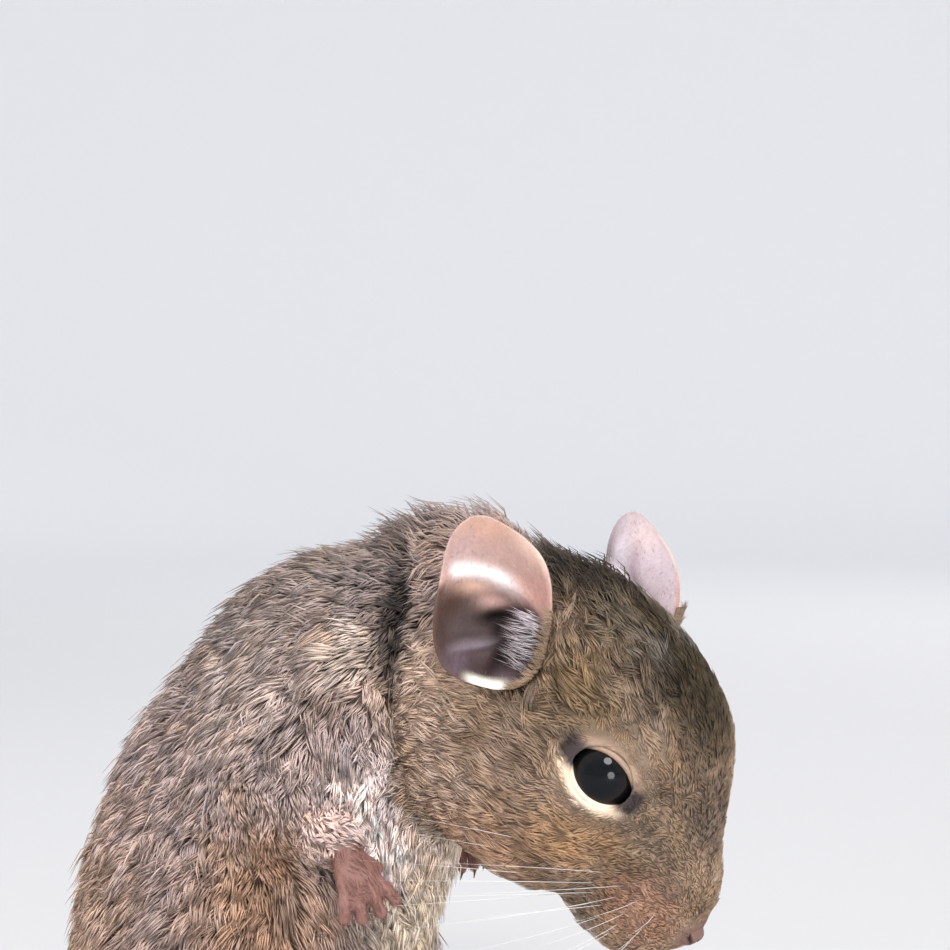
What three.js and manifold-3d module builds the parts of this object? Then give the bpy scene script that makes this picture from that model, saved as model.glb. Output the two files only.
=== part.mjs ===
// A young degu, life size, sitting hunched on its haunches with its head lowered and turned
// a little to its right, its forepaws hanging before its chest and its tail laid behind it.
// Millimetres. +X is the way the body faces, +Y is its left and +Z is up; it rests on z = 0.
import * as THREE from "three";
import { mergeVertices } from "three/addons/utils/BufferGeometryUtils.js";
import Module from "manifold-3d";

const wasm = await Module();
wasm.setup();

// Driving sizes of the whole animal, out to the tips of its coat.
const GAP = 0.32; // what neighbouring pieces keep between them
const HEAD_AT = [34, -5, 47.5]; // middle of the head, a little behind the eyes
const HEAD_YAW = -20; // degrees, turned to its right
const HEAD_PITCH = 38; // degrees, nose down
const HEAD_LENGTH = 23.7; // from its middle to the tip of the nose
const EYE_AT = [7, 8.7, 6.3]; // left eye, in the head's own frame
const EYE_RADIUS = 4.3;
const EYE_OPENING = [6.8, 5.5];
const LID_THICKNESS = 0.85;
const EAR_AT = { right: [-7.3, -11.3, 5], left: [-5.8, 11.3, 5] }; // where each springs
const EAR_LENGTH = 19.6;
const EAR_WIDTH = 12.8;
const EAR_CUP = 3.6;
const EAR_THICKNESS = 0.9;
const SHOULDER_AT = [4, 10, 54]; // left side; the right one mirrors it
const ELBOW_AT = [1, 17.8, 44];
const WRIST_AT = { right: [10.6, -17.2, 38.8], left: [12.6, 16.2, 37] };
const FOREPAW_LENGTH = 11.5; // wrist to claws
const HEEL_AT = [-9, 16, 0];
const HINDFOOT_LENGTH = 27; // heel to claws
const HINDFOOT_TURN = 7; // degrees, toes outwards
const TAIL_ROOT_AT = [-22, 0];
const TAIL_LENGTH = 100;
const TAIL_BEND = 85; // radius of its curve on the floor
const TAIL_RADII = [2.8, 1.5]; // at its root and at its tip
const BRUSH_LENGTH = 34; // end of the tail that carries long hair
const BRUSH_LOCKS = 22;
const LOCK_LENGTH = 8.5;

const SIDES = { right: -1, left: 1 };
const vec = (at) => new THREE.Vector3(...at);
const mirrored = (at, side) => [at[0], at[1] * side, at[2]];
const mix = THREE.MathUtils.lerp;
const clamp = THREE.MathUtils.clamp;
const radians = THREE.MathUtils.degToRad;

// Soft forms are distance fields: functions of x, y and z, negative inside.

function ball(at, radii, turn = [0, 0, 0]) {
  const euler = new THREE.Euler(...turn.map(radians));
  const inward = new THREE.Matrix4().makeRotationFromEuler(euler).setPosition(...at).invert();
  const p = new THREE.Vector3();
  const scaled = new THREE.Vector3();
  const size = vec(radii);
  return (x, y, z) => {
    scaled.copy(p.set(x, y, z).applyMatrix4(inward).divide(size));
    const reach = scaled.length();
    return (reach * (reach - 1)) / Math.max(scaled.divide(size).length(), 1e-6);
  };
}

function limb(from, to, fromRadius, toRadius) {
  const start = vec(from);
  const along = vec(to).sub(start);
  const p = new THREE.Vector3();
  return (x, y, z) => {
    const t = clamp(p.set(x, y, z).sub(start).dot(along) / along.lengthSq(), 0, 1);
    return p.addScaledVector(along, -t).length() - mix(fromRadius, toRadius, t);
  };
}

function blend(softness, ...fields) {
  return (x, y, z) => {
    let near = fields[0](x, y, z);
    for (let i = 1; i < fields.length; i += 1) {
      const other = fields[i](x, y, z);
      const share = clamp(0.5 + (0.5 * (other - near)) / softness, 0, 1);
      near = mix(other, near, share) - softness * share * (1 - share);
    }
    return near;
  };
}

const grown = (field, by) => (x, y, z) => field(x, y, z) - by;
const hollowed = (field, ...bowls) => (x, y, z) =>
  Math.max(field(x, y, z), ...bowls.map((bowl) => -bowl(x, y, z)));
const bothSides = (field) => (x, y, z) => field(x, Math.abs(y), z);

function placed(field, matrix) {
  const inward = matrix.clone().invert();
  const p = new THREE.Vector3();
  return (x, y, z) => {
    p.set(x, y, z).applyMatrix4(inward);
    return field(p.x, p.y, p.z);
  };
}

// Closed meshes become solids, which join and cut one another.

function solidOf(geometry, matrix = new THREE.Matrix4()) {
  const bare = new THREE.BufferGeometry();
  bare.setAttribute("position", geometry.getAttribute("position").clone());
  bare.setIndex(geometry.index);
  const merged = mergeVertices(bare.applyMatrix4(matrix), 1e-4);
  return new wasm.Manifold(new wasm.Mesh({
    numProp: 3,
    vertProperties: new Float32Array(merged.attributes.position.array),
    triVerts: new Uint32Array(merged.index.array),
  }));
}

function largest(solid) {
  const pieces = solid.decompose().filter((piece) => piece.volume() > 0);
  return pieces.reduce((best, piece) => (piece.volume() > best.volume() ? piece : best));
}

// The surface of a field inside a box, as a net of quads with one point in each cell it crosses.
function skinOf(field, low, high, cell) {
  const counts = low.map((value, axis) => Math.ceil((high[axis] - value) / cell) + 1);
  const [nx, ny, nz] = counts;
  const at = (i, j, k) => i + nx * (j + ny * k);
  const place = (i, j, k) => [low[0] + i * cell, low[1] + j * cell, low[2] + k * cell];
  const onRim = (i, j, k) => [i, j, k].some((n, axis) => n <= 0 || n >= counts[axis] - 1);
  const values = new Float32Array(nx * ny * nz);
  for (let k = 0; k < nz; k += 1)
    for (let j = 0; j < ny; j += 1)
      for (let i = 0; i < nx; i += 1) {
        const value = field(...place(i, j, k));
        values[at(i, j, k)] = onRim(i, j, k) ? Math.max(value, 1e-3) : value;
      }
  const points = [];
  const cells = new Map();
  const corners = [];
  for (let n = 0; n < 8; n += 1) corners.push([n & 1, (n >> 1) & 1, (n >> 2) & 1]);
  for (let k = 0; k < nz - 1; k += 1)
    for (let j = 0; j < ny - 1; j += 1)
      for (let i = 0; i < nx - 1; i += 1) {
        const point = crossing(corners, values, at, place, i, j, k);
        if (!point) continue;
        const clear = !onRim(i, j, k) && !onRim(i + 1, j + 1, k + 1);
        cells.set(at(i, j, k), points.length / 3);
        points.push(...(clear ? settled(field, point, cell) : point));
      }
  const geometry = new THREE.BufferGeometry();
  geometry.setAttribute("position", new THREE.Float32BufferAttribute(points, 3));
  geometry.setIndex(netFaces(counts, values, at, cells, points));
  return solidOf(geometry);
}

// The mean of the places where the field changes sign along a cell's edges, or null.
function crossing(corners, values, at, place, i, j, k) {
  const sum = [0, 0, 0];
  let found = 0;
  for (let a = 0; a < 8; a += 1)
    for (let axis = 0; axis < 3; axis += 1) {
      if (corners[a][axis]) continue;
      const from = [i + corners[a][0], j + corners[a][1], k + corners[a][2]];
      const to = from.map((value, n) => (n === axis ? value + 1 : value));
      const [va, vb] = [values[at(...from)], values[at(...to)]];
      if (va < 0 === vb < 0) continue;
      const [pa, pb] = [place(...from), place(...to)];
      for (let n = 0; n < 3; n += 1) sum[n] += mix(pa[n], pb[n], va / (va - vb));
      found += 1;
    }
  return found ? sum.map((value) => value / found) : null;
}

// Moves a point onto the field's surface along its slope, by less than half a cell.
function settled(field, point, cell) {
  const step = 0.05;
  const value = field(...point);
  const slope = [0, 1, 2].map((axis) => {
    const ahead = point.map((n, other) => (other === axis ? n + step : n));
    return (field(...ahead) - value) / step;
  });
  const steepness = Math.max(slope.reduce((sum, n) => sum + n * n, 0), 0.1);
  const by = clamp(value / steepness, -0.4 * cell, 0.4 * cell);
  return point.map((n, axis) => n - by * slope[axis]);
}

function netFaces(counts, values, at, cells, points) {
  const faces = [];
  const apart = (a, b) => Math.hypot(...[0, 1, 2].map((n) => points[3 * a + n] - points[3 * b + n]));
  for (let axis = 0; axis < 3; axis += 1) {
    const [u, v] = [(axis + 1) % 3, (axis + 2) % 3];
    const reach = counts.map((count, n) => (n === axis ? count - 1 : count));
    for (let k = 0; k < reach[2]; k += 1)
      for (let j = 0; j < reach[1]; j += 1)
        for (let i = 0; i < reach[0]; i += 1) {
          const from = [i, j, k];
          if (!from[u] || !from[v]) continue;
          const to = from.map((value, n) => (n === axis ? value + 1 : value));
          const inside = values[at(...from)] < 0;
          if (inside === values[at(...to)] < 0) continue;
          const ring = [[0, 0], [1, 0], [1, 1], [0, 1]].map(([du, dv]) => {
            const cell = [...from];
            cell[u] -= du;
            cell[v] -= dv;
            return cells.get(at(...cell));
          });
          if (inside) ring.reverse();
          const [a, b, c, d] = ring.reverse();
          if (apart(a, c) < apart(b, d)) faces.push(a, b, c, a, c, d);
          else faces.push(a, b, d, b, c, d);
        }
  }
  return faces;
}

// A closed tube along a curve. shape(t) gives its half width, half height and, on its lower
// side, how much of that height is kept; its round ends close on a point.
function loft(curve, shape, steps, sides, { up = [0, 0, 1], matrix } = {}) {
  const positions = [];
  const faces = [];
  const across = new THREE.Vector3();
  const over = new THREE.Vector3();
  for (let i = 0; i <= steps; i += 1) {
    const t = i / steps;
    const middle = curve.getPoint(t);
    const tangent = curve.getTangent(t);
    across.crossVectors(vec(up), tangent).normalize();
    over.crossVectors(tangent, across);
    const [halfWidth, halfHeight, under = 1] = shape(t);
    for (let s = 0; s < sides; s += 1) {
      const angle = (2 * Math.PI * s) / sides;
      const rise = Math.sin(angle) * halfHeight * (Math.sin(angle) < 0 ? under : 1);
      const p = middle.clone().addScaledVector(across, Math.cos(angle) * halfWidth);
      positions.push(...p.addScaledVector(over, rise).toArray());
    }
  }
  for (let i = 0; i < steps; i += 1)
    for (let s = 0; s < sides; s += 1) {
      const [a, b] = [i * sides + s, i * sides + ((s + 1) % sides)];
      faces.push(a, b, b + sides, a, b + sides, a + sides);
    }
  const ends = [curve.getPoint(0), curve.getPoint(1)];
  ends.forEach((end, last) => {
    const tip = positions.length / 3;
    positions.push(...end.toArray());
    for (let s = 0; s < sides; s += 1) {
      const [a, b] = [s, (s + 1) % sides].map((n) => n + (last ? steps * sides : 0));
      faces.push(...(last ? [a, b, tip] : [b, a, tip]));
    }
  });
  const geometry = new THREE.BufferGeometry();
  geometry.setAttribute("position", new THREE.Float32BufferAttribute(positions, 3));
  geometry.setIndex(faces);
  return solidOf(geometry, matrix);
}

const route = (...points) => new THREE.CatmullRomCurve3(points.map(vec));
const join = (...solids) => solids.reduce((sum, solid) => sum.add(solid));

// Everything behind a point, seen along a direction: a large box with one face there.
function behind(point, direction, by = 0) {
  const size = 200;
  const way = vec(direction).normalize();
  const turn = new THREE.Quaternion().setFromUnitVectors(new THREE.Vector3(1, 0, 0), way);
  const middle = vec(point).addScaledVector(way, by - size / 2);
  const matrix = new THREE.Matrix4().compose(middle, turn, new THREE.Vector3(1, 1, 1));
  return solidOf(new THREE.BoxGeometry(size, size, size), matrix);
}

// The two sides of a thin cut through a solid: what lies before a plane, and what lies behind.
function parted(solid, [at, way]) {
  const back = way.map((n) => -n);
  return [solid.intersect(behind(at, way)), solid.intersect(behind(at, back, -GAP))];
}

function egg(at, radii, turn, by = 0) {
  const geometry = new THREE.SphereGeometry(1, 18, 12).rotateX(Math.PI / 2);
  const euler = new THREE.Euler(...turn.map(radians));
  const size = vec(radii).addScalar(by);
  const matrix = new THREE.Matrix4().makeRotationFromEuler(euler).scale(size);
  return solidOf(geometry, matrix.setPosition(...at));
}

// The head's own frame: x towards the nose, y left, z up through the crown.
const headTurn = new THREE.Matrix4()
  .makeRotationZ(radians(HEAD_YAW))
  .multiply(new THREE.Matrix4().makeRotationY(radians(HEAD_PITCH)));
const headFrame = headTurn.clone().setPosition(...HEAD_AT);
const fromHead = (at) => vec(at).applyMatrix4(headFrame).toArray();
const wayFromHead = (way) => vec(way).applyMatrix4(headTurn).toArray();

// An ear's frame: x across it, y up its length, z out of its bowl.
function earFrame(name, side) {
  const up = vec(mirrored([-0.55, 0.284, 0.785], side)).normalize();
  const open = vec(mirrored([0.56, 0.8, 0.1], side));
  const across = new THREE.Vector3().crossVectors(up, open).normalize();
  open.crossVectors(across, up);
  const frame = new THREE.Matrix4().makeBasis(across, up, open);
  return headFrame.clone().multiply(frame.setPosition(...EAR_AT[name]));
}

// Forms of the body, one field each.

function headField() {
  const skull = blend(
    5,
    ball([-3, 0, 4.6], [18.8, 12.8, 15.9]),
    limb([5.5, 0, 3.6], [HEAD_LENGTH - 7.4, 0, -1.8], 11.9, 6.8),
  );
  const cheek = ball([-1.5, 6.2, -4.8], [13.5, 8.4, 9.6]);
  const lipPad = ball([HEAD_LENGTH - 6.6, 2.9, -7.4], [5.8, 3.9, 4.4]);
  const brow = ball([7.4, 8.4, 10.6], [5, 2.4, 2.2]);
  const chin = ball([HEAD_LENGTH - 11, 0, -11.2], [5.8, 3.6, 3]);
  const nose = ball([HEAD_LENGTH - 2.4, 0, -4.9], [2.4, 2.7, 2.4]);
  const face = blend(3.5, skull, bothSides(cheek), chin);
  const muzzle = blend(1.4, bothSides(lipPad), nose);
  return placed(blend(1.8, blend(2.2, face, muzzle), bothSides(brow)), headFrame);
}

function neckField() {
  const scruff = limb(fromHead([-12, 0, 2]), fromHead([-20, 0.5, 1.4]), 12.8, 13.6);
  const throat = ball(fromHead([-11, 0, -7]), [12, 11, 8]);
  return blend(4, scruff, throat);
}

function trunkField() {
  const rump = ball([-9, 0, 20.6], [20, 20, 21.6]);
  const belly = ball([-5, 0, 32], [21, 19.5, 27]);
  const chest = ball([3, 0, 44], [18, 16, 20]);
  const withers = ball([5, -1, 56], [15.5, 15.5, 15.5]);
  return blend(7, rump, belly, chest, withers);
}

function haunchField(side) {
  const thigh = ball(mirrored([-8, 14.5, 17], side), [17, 9.8, 16], [10 * side, -24, 0]);
  const knee = ball(mirrored([5, 16.5, 15.5], side), [8.5, 6.8, 8.5]);
  return blend(6, thigh, knee);
}

function forelegField(name, side) {
  const elbow = mirrored(ELBOW_AT, side);
  const upper = limb(mirrored(SHOULDER_AT, side), elbow, 8.6, 6.6);
  const lower = limb(elbow, WRIST_AT[name], 6.4, 2.4);
  return blend(3, upper, lower);
}

// The bowl of each ear sinks into the head.
function earBowl([name, side]) {
  return placed(ball([0, 7.6, -1.4], [6.5, 8, 5.7]), earFrame(name, side));
}

const head = headField();
const front = hollowed(blend(5, head, neckField()), ...Object.entries(SIDES).map(earBowl));
const haunches = Object.values(SIDES).map(haunchField);
const forelegs = Object.entries(SIDES).map(([name, side]) => forelegField(name, side));
const body = blend(5, trunkField(), ...forelegs, ...haunches);
const whole = blend(2.6, body, front);
const skinnedHead = skinOf(whole, [4, -34, 12], [66, 24, 84], 2.6);
const skinnedBody = skinOf(whole, [-36, -34, -5], [46, 34, 86], 4.7);
const aboveFloor = behind([0, 0, 0], [0, 0, -1]);

// The head ends on one plane behind its ears and another under its throat.
const HEAD_CUTS = [
  [fromHead([-12.5, 0, 0]), wayFromHead([-1, 0, 0.12])],
  [fromHead([-6, 0, -14.5]), wayFromHead([-0.55, 0, -0.85])],
];
const NECK_CUT = [[15, -8, 65], [-0.9, 0.05, -0.42]];
const headZone = (by) => HEAD_CUTS.map(([at, way]) => behind(at, way, by))
  .reduce((zone, side) => zone.intersect(side));

// The upper legs are named pieces of the body too, each parted from it along an egg.
function armZone(name, side, by = 0) {
  const upper = egg(mirrored([3.5, 19.5, 45], side), [11.5, 9, 12], [0, 28, 14 * side], by);
  const past = vec(WRIST_AT[name]).add(vec(mirrored([3, -0.5, -2.6], side))).toArray();
  const lower = loft(route(mirrored(ELBOW_AT, side), past), () => [5 + by, 5 + by], 2, 12);
  return upper.add(lower);
}

function thighZone(side, by = 0) {
  return egg(mirrored([-3, 19, 16], side), [21, 11.5, 17.5], [8 * side, -14, 0], by);
}

// Eyes bulge from sockets; the lids are a thin ring of skin that lies on each eye.

function lidFrame(side) {
  const gaze = vec([0.3, 0.9 * side, 0.26]).normalize();
  const over = new THREE.Vector3().crossVectors(vec([1, 0, 0]), gaze).normalize();
  const length = new THREE.Vector3().crossVectors(gaze, over);
  const frame = new THREE.Matrix4().makeBasis(length, gaze, over).setPosition(...mirrored(EYE_AT, side));
  return headFrame.clone().multiply(frame);
}

function eyeball(side, by = 0) {
  return solidOf(new THREE.SphereGeometry(EYE_RADIUS + by, 16, 10), lidFrame(side));
}

function lidOpening(side) {
  const depth = 2 * EYE_RADIUS;
  const oval = new THREE.CylinderGeometry(1, 1, depth, 24).translate(0, depth / 2, 0);
  const [length, height] = EYE_OPENING;
  return solidOf(oval.scale(length / 2, 1, height / 2), lidFrame(side));
}

// Nose slits, the cleft of the upper lip and the line of the mouth are fine grooves.

function onSkin(from, way) {
  let [inside, outside] = [0, 16];
  for (let n = 0; n < 24; n += 1) {
    const middle = (inside + outside) / 2;
    const at = vec(from).addScaledVector(vec(way).normalize(), middle);
    if (head(...fromHead(at.toArray())) < 0) inside = middle;
    else outside = middle;
  }
  return vec(from).addScaledVector(vec(way).normalize(), inside - 0.1).toArray();
}

function groove(points, radius, up) {
  const curve = route(...points);
  return loft(curve, () => [radius, radius], 2 * points.length, 5, { up, matrix: headFrame });
}

function mouthGrooves() {
  const middle = [HEAD_LENGTH - 9, 0, -6.2];
  const ways = [[-2, 6, -4.4], [0.6, 5, -4.6], [3.8, 3, -4.4], [5.6, 0, -4.6]];
  const half = ways.map((way) => onSkin(middle, way));
  const other = half.slice(0, 3).map((at) => mirrored(at, -1)).reverse();
  const mouth = groove([...half, ...other], 0.5, [0, 0, 1]);
  const cleftWays = [[8, 0, -4.8], [8, 0, -2.4], [8, 0, 0.2]];
  const cleft = groove(cleftWays.map((way) => onSkin(middle, way)), 0.42, [0, 1, 0]);
  return join(mouth, cleft);
}

function nostril(side) {
  const middle = [HEAD_LENGTH - 3.6, 0, -4.7];
  const ways = [[3, 1.0, -0.7], [2.6, 1.7, 0.2], [1.6, 2.2, 0.9]];
  const points = ways.map((way) => onSkin(middle, mirrored(way, side)));
  return groove(points, 0.48, [1, 0, 0]);
}

function makeHead() {
  let skin = skinnedHead.intersect(headZone(0));
  for (const [name, side] of Object.entries(SIDES)) {
    skin = skin.subtract(armZone(name, side, GAP));
    skin = skin.add(eyeball(side, GAP + LID_THICKNESS));
    skin = skin.subtract(eyeball(side, GAP)).subtract(lidOpening(side));
    skin = skin.subtract(nostril(side));
  }
  return skin.subtract(mouthGrooves());
}

// An ear is a thin oval blade, cupped deepest near its root, with its lower edges rolled in.
function ear(name, side) {
  const matrix = earFrame(name, side);
  const inner = (reach, turn) => {
    const length = (EAR_LENGTH / 2) * (1 + Math.sin(turn) * reach);
    const low = 1 - length / EAR_LENGTH;
    const width = (EAR_WIDTH / 2) * Math.cos(turn) * reach * (1 - 0.3 * low ** 2);
    const dip = EAR_CUP * (1 - reach ** 2) * (0.35 + 1.1 * low);
    const roll = 3.4 * reach ** 4 * low * Math.cos(turn) ** 2;
    const lean = -2.2 * (1 - low) ** 2;
    return vec([width, length, roll + lean - dip]);
  };
  const stalk = loft(
    route([0, 0, -11], [0, 3, -7], [0, 6, -4]),
    (t) => [mix(3.4, 2.6, t), mix(3.4, 2.6, t)], 2, 8, { up: [1, 0, 0], matrix },
  );
  const nearby = fromHead(EAR_AT[name]);
  const low = nearby.map((n) => n - 12);
  const high = nearby.map((n) => n + 12);
  const skin = skinOf(grown(whole, GAP + 0.15), low, high, 2.2);
  return largest(join(blade(inner, EAR_THICKNESS, 5, 20, matrix), stalk).subtract(skin));
}

// A thin round blade: the inner face is a function of reach and turn, the outer one follows it.
function blade(inner, thickness, rings, spokes, matrix) {
  const positions = [];
  const faces = [];
  const outer = (reach, turn) => {
    const [r, step] = [Math.max(reach, 0.02), 0.01];
    const here = inner(r, turn);
    const out = inner(r + step, turn).sub(here);
    const round = inner(r, turn + step).sub(here);
    return inner(reach, turn).addScaledVector(out.cross(round).normalize(), -thickness);
  };
  for (const face of [inner, outer]) {
    positions.push(...face(0, Math.PI / 2).toArray());
    for (let ring = 1; ring <= rings; ring += 1)
      for (let spoke = 0; spoke < spokes; spoke += 1)
        positions.push(...face(ring / rings, (2 * Math.PI * spoke) / spokes).toArray());
  }
  const each = 1 + rings * spokes;
  const index = (ring, spoke) => (ring ? 1 + (ring - 1) * spokes + (spoke % spokes) : 0);
  for (let spoke = 0; spoke < spokes; spoke += 1) {
    const fan = [0, index(1, spoke), index(1, spoke + 1)];
    faces.push(...fan, ...fan.toReversed().map((n) => n + each));
    for (let ring = 1; ring < rings; ring += 1) {
      const [a, b] = [index(ring, spoke), index(ring, spoke + 1)];
      const [c, d] = [index(ring + 1, spoke), index(ring + 1, spoke + 1)];
      const pair = [a, c, d, a, d, b];
      faces.push(...pair, ...pair.toReversed().map((n) => n + each));
    }
    const [a, b] = [index(rings, spoke), index(rings, spoke + 1)];
    faces.push(a, a + each, b + each, a, b + each, b);
  }
  const geometry = new THREE.BufferGeometry();
  geometry.setAttribute("position", new THREE.Float32BufferAttribute(positions, 3));
  geometry.setIndex(faces);
  return solidOf(geometry, matrix);
}

// Feet: digits and claws are tapered tubes with round ends, joined to a palm or a sole.

const roundEnd = (t) => Math.sqrt(1 - clamp((t - 0.8) / 0.21, 0, 1) ** 2);

function digit(points, [root, tip], matrix) {
  const shape = (t) => {
    const radius = mix(root, tip, t) * roundEnd(t);
    return [radius, 0.92 * radius];
  };
  return loft(route(...points), shape, 4, 6, { matrix });
}

function claw(at, way, length, radius, matrix) {
  const [x, y, z] = at;
  const points = [0, 0.5, 1].map((t) => [
    x + way[0] * length * t, y + way[1] * length * t, z + way[2] * length * t ** 2,
  ]);
  const shape = (t) => [mix(0.8, 0.2, t) * radius, mix(1, 0.22, t) * radius];
  return loft(route(...points), shape, 2, 5, { matrix });
}

// A forepaw's own frame: x along the digits, y towards the thumb, z out of its back.
function forefoot(name, side) {
  const along = vec(mirrored([0.42, 0.06, -0.9], side)).normalize();
  const back = vec(mirrored([0.5, 0.85, 0.12], side));
  const thumbward = new THREE.Vector3().crossVectors(back, along).normalize();
  back.crossVectors(along, thumbward);
  const drawnLength = 11.2;
  const size = FOREPAW_LENGTH / drawnLength;
  const matrix = new THREE.Matrix4().makeBasis(along, thumbward, back);
  matrix.setPosition(...WRIST_AT[name]).scale(vec([size, size, size]));
  const thumb = -side;
  const palm = loft(
    route([-2, 0, 0], [2, 0, 0.1], [5.8, 0, -0.4]),
    (t) => [mix(1.5, 2.5, Math.sin(t * 2.2)), mix(1.55, 1.05, t)], 4, 10, { matrix },
  );
  const pieces = [palm];
  for (const [n, length] of [3.1, 4, 4.2, 3.6].entries()) {
    const y = (n - 1.5) * 1.28 * thumb;
    const splay = (n - 1.5) * 0.13 * thumb;
    const bent = [0, 0.45, 0.8, 1].map((t) => [4.6 + length * t, y + splay * length * t,
      -0.35 - 0.9 * t ** 2]);
    pieces.push(digit(bent, [0.84, 0.7], matrix));
    pieces.push(claw(bent[2], [1, splay, -0.5], 2.1, 0.42, matrix));
  }
  const thumbPoints = [[1.8, 1.2 * thumb, -0.3], [3.2, 2.5 * thumb, -0.5], [4.2, 3 * thumb, -0.9]];
  pieces.push(digit(thumbPoints, [0.85, 0.6], matrix));
  const cut = [WRIST_AT[name], along.clone().negate().toArray()];
  return { solid: join(...pieces), cut };
}

// A hind foot's own frame: x from heel to toes, y outwards, z up, with its heel at the origin.
function hindFrame(side) {
  const drawnLength = 26;
  const size = HINDFOOT_LENGTH / drawnLength;
  return new THREE.Matrix4()
    .makeRotationZ(radians(HINDFOOT_TURN * side))
    .scale(vec([size, size, size]))
    .setPosition(...mirrored(HEEL_AT, side));
}

function sole(side, by = 0) {
  const shape = (t) => [
    (mix(2.4, 3.6, t ** 1.5) + by) * Math.sqrt(1 - (2 * t - 1) ** 8 * 0.6),
    mix(2.9, 1.9, t) + by,
  ];
  const points = [[-0.4 - by, 0, 2.4], [6, 0, 2.7], [12, 0, 2.2], [18.2 + by, 0, 1.4]];
  return loft(route(...points), shape, 6, 9, { matrix: hindFrame(side) });
}

const TOES = [
  { y: -2.9, x: 12.6, length: 4.4, radius: 0.95 },
  { y: -1.9, x: 15.2, length: 7.4, radius: 1.1 },
  { y: 0.1, x: 15.6, length: 8.4, radius: 1.15 },
  { y: 2.1, x: 15.2, length: 7.8, radius: 1.1 },
  { y: 3.2, x: 12.8, length: 6, radius: 1 },
];

function hindfoot(side) {
  const matrix = hindFrame(side);
  const pieces = [sole(side)];
  for (const { y, x, length, radius } of TOES) {
    const splay = 0.06 * y;
    const heights = [1.7, 2, 1.2, 0.72];
    const points = [0, 0.4, 0.75, 1].map((t, n) => [
      x + (length - 1.6) * t, side * (y + splay * length * t), heights[n],
    ]);
    pieces.push(digit(points, [radius, 0.8 * radius], matrix));
    pieces.push(claw(points[2], [1, side * splay, -0.32], 0.25 * length + 1.8, 0.5, matrix));
  }
  return join(...pieces).intersect(aboveFloor);
}

// The tail lies on the floor in one easy bend and ends in a brush of bristly locks.

const tailRadius = (t) => mix(...TAIL_RADII, t) + 0.6 * Math.exp(-t * 12);

const tailCurve = Object.assign(new THREE.Curve(), {
  getPoint(t) {
    const turn = (t * TAIL_LENGTH) / TAIL_BEND;
    const lift = 7 * Math.exp(-1 * ((t * TAIL_LENGTH) / 9) ** 2);
    const x = TAIL_ROOT_AT[0] - TAIL_BEND * Math.sin(turn);
    const y = TAIL_ROOT_AT[1] + TAIL_BEND * (1 - Math.cos(turn));
    return vec([x, y, tailRadius(t) - 0.15 + lift]);
  },
});

function tailPiece(from, to) {
  const curve = new THREE.Curve();
  curve.getPoint = (t) => tailCurve.getPoint(mix(from, to, t));
  const last = to === 1;
  const shape = (t) => {
    const radius = tailRadius(mix(from, to, t)) * (last ? mix(0.35, 1, roundEnd(t)) : 1);
    return [radius, radius];
  };
  return loft(curve, shape, 8, 10);
}

function brush() {
  const locks = [];
  for (let n = 0; n < BRUSH_LOCKS; n += 1) {
    const share = n / (BRUSH_LOCKS - 1);
    const t = mix(1 - BRUSH_LENGTH / TAIL_LENGTH + 0.005, 1, share);
    const root = tailCurve.getPoint(t);
    const back = tailCurve.getTangent(t);
    const side = new THREE.Vector3().crossVectors(vec([0, 0, 1]), back).normalize();
    const turn = radians(mix(-10, 190, (n * 0.618) % 1));
    const out = side.clone().multiplyScalar(Math.cos(turn));
    out.z = Math.max(Math.sin(turn), 0.04);
    const length = LOCK_LENGTH * mix(0.8, 1.2, share);
    const spread = mix(0.34, 0.16, share ** 3);
    const points = [0, 0.4, 0.75, 1].map((s) => root.clone()
      .addScaledVector(back, length * s)
      .addScaledVector(out, length * spread * Math.sin(s * 1.9))
      .toArray());
    const shape = (s) => [mix(1.15, 0.2, s ** 1.6), mix(0.55, 0.15, s)];
    locks.push(loft(route(...points), shape, 3, 4, { up: out.toArray() }));
  }
  return locks;
}

// Every piece, cut clear of its neighbours.

const solids = {};
solids.head = makeHead();
for (const [name, side] of Object.entries(SIDES)) {
  solids["ear_" + name] = ear(name, side);
  solids["eye_" + name] = eyeball(side);
}

let trunk = skinnedBody.intersect(aboveFloor);
for (const [name, side] of Object.entries(SIDES)) {
  trunk = trunk.subtract(sole(side, GAP));
  solids["hindleg_" + name] = trunk.intersect(thighZone(side));
  trunk = trunk.subtract(thighZone(side, GAP));
  solids["hindfoot_" + name] = hindfoot(side);
  const paw = forefoot(name, side);
  solids["foreleg_" + name] = parted(trunk.intersect(armZone(name, side)), paw.cut)[1];
  solids["forefoot_" + name] = parted(paw.solid, paw.cut)[0];
  trunk = trunk.subtract(armZone(name, side, GAP));
}
solids.neck = skinnedHead.subtract(headZone(GAP)).intersect(behind(...NECK_CUT));
solids.torso = parted(trunk, NECK_CUT)[1].subtract(headZone(GAP));

const rumpSkin = skinOf(grown(whole, GAP), [-36, -10, -2], [-16, 14, 24], 2.9);
solids.tail_base = tailPiece(0, 0.33).subtract(rumpSkin);
solids.tail_middle = tailPiece(0.33 + GAP / TAIL_LENGTH, 0.66);
solids.tail_end = join(tailPiece(0.66 + GAP / TAIL_LENGTH, 1), ...brush());
for (const name of ["tail_base", "tail_middle", "tail_end"])
  solids[name] = solids[name].intersect(aboveFloor);

const COAT = { color: 0x8a7766, roughness: 0.95 };
const SKIN = { color: 0x9a7466, roughness: 0.7 };
const FINISHES = {
  eye: { color: 0x0b0a0c, roughness: 0.08 },
  ear: { color: 0xc9a596, roughness: 0.7 },
  forefoot: SKIN,
  hindfoot: { color: 0x6e5c52, roughness: 0.8 },
  tail: { color: 0x4a3c34, roughness: 0.9 },
};

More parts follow.
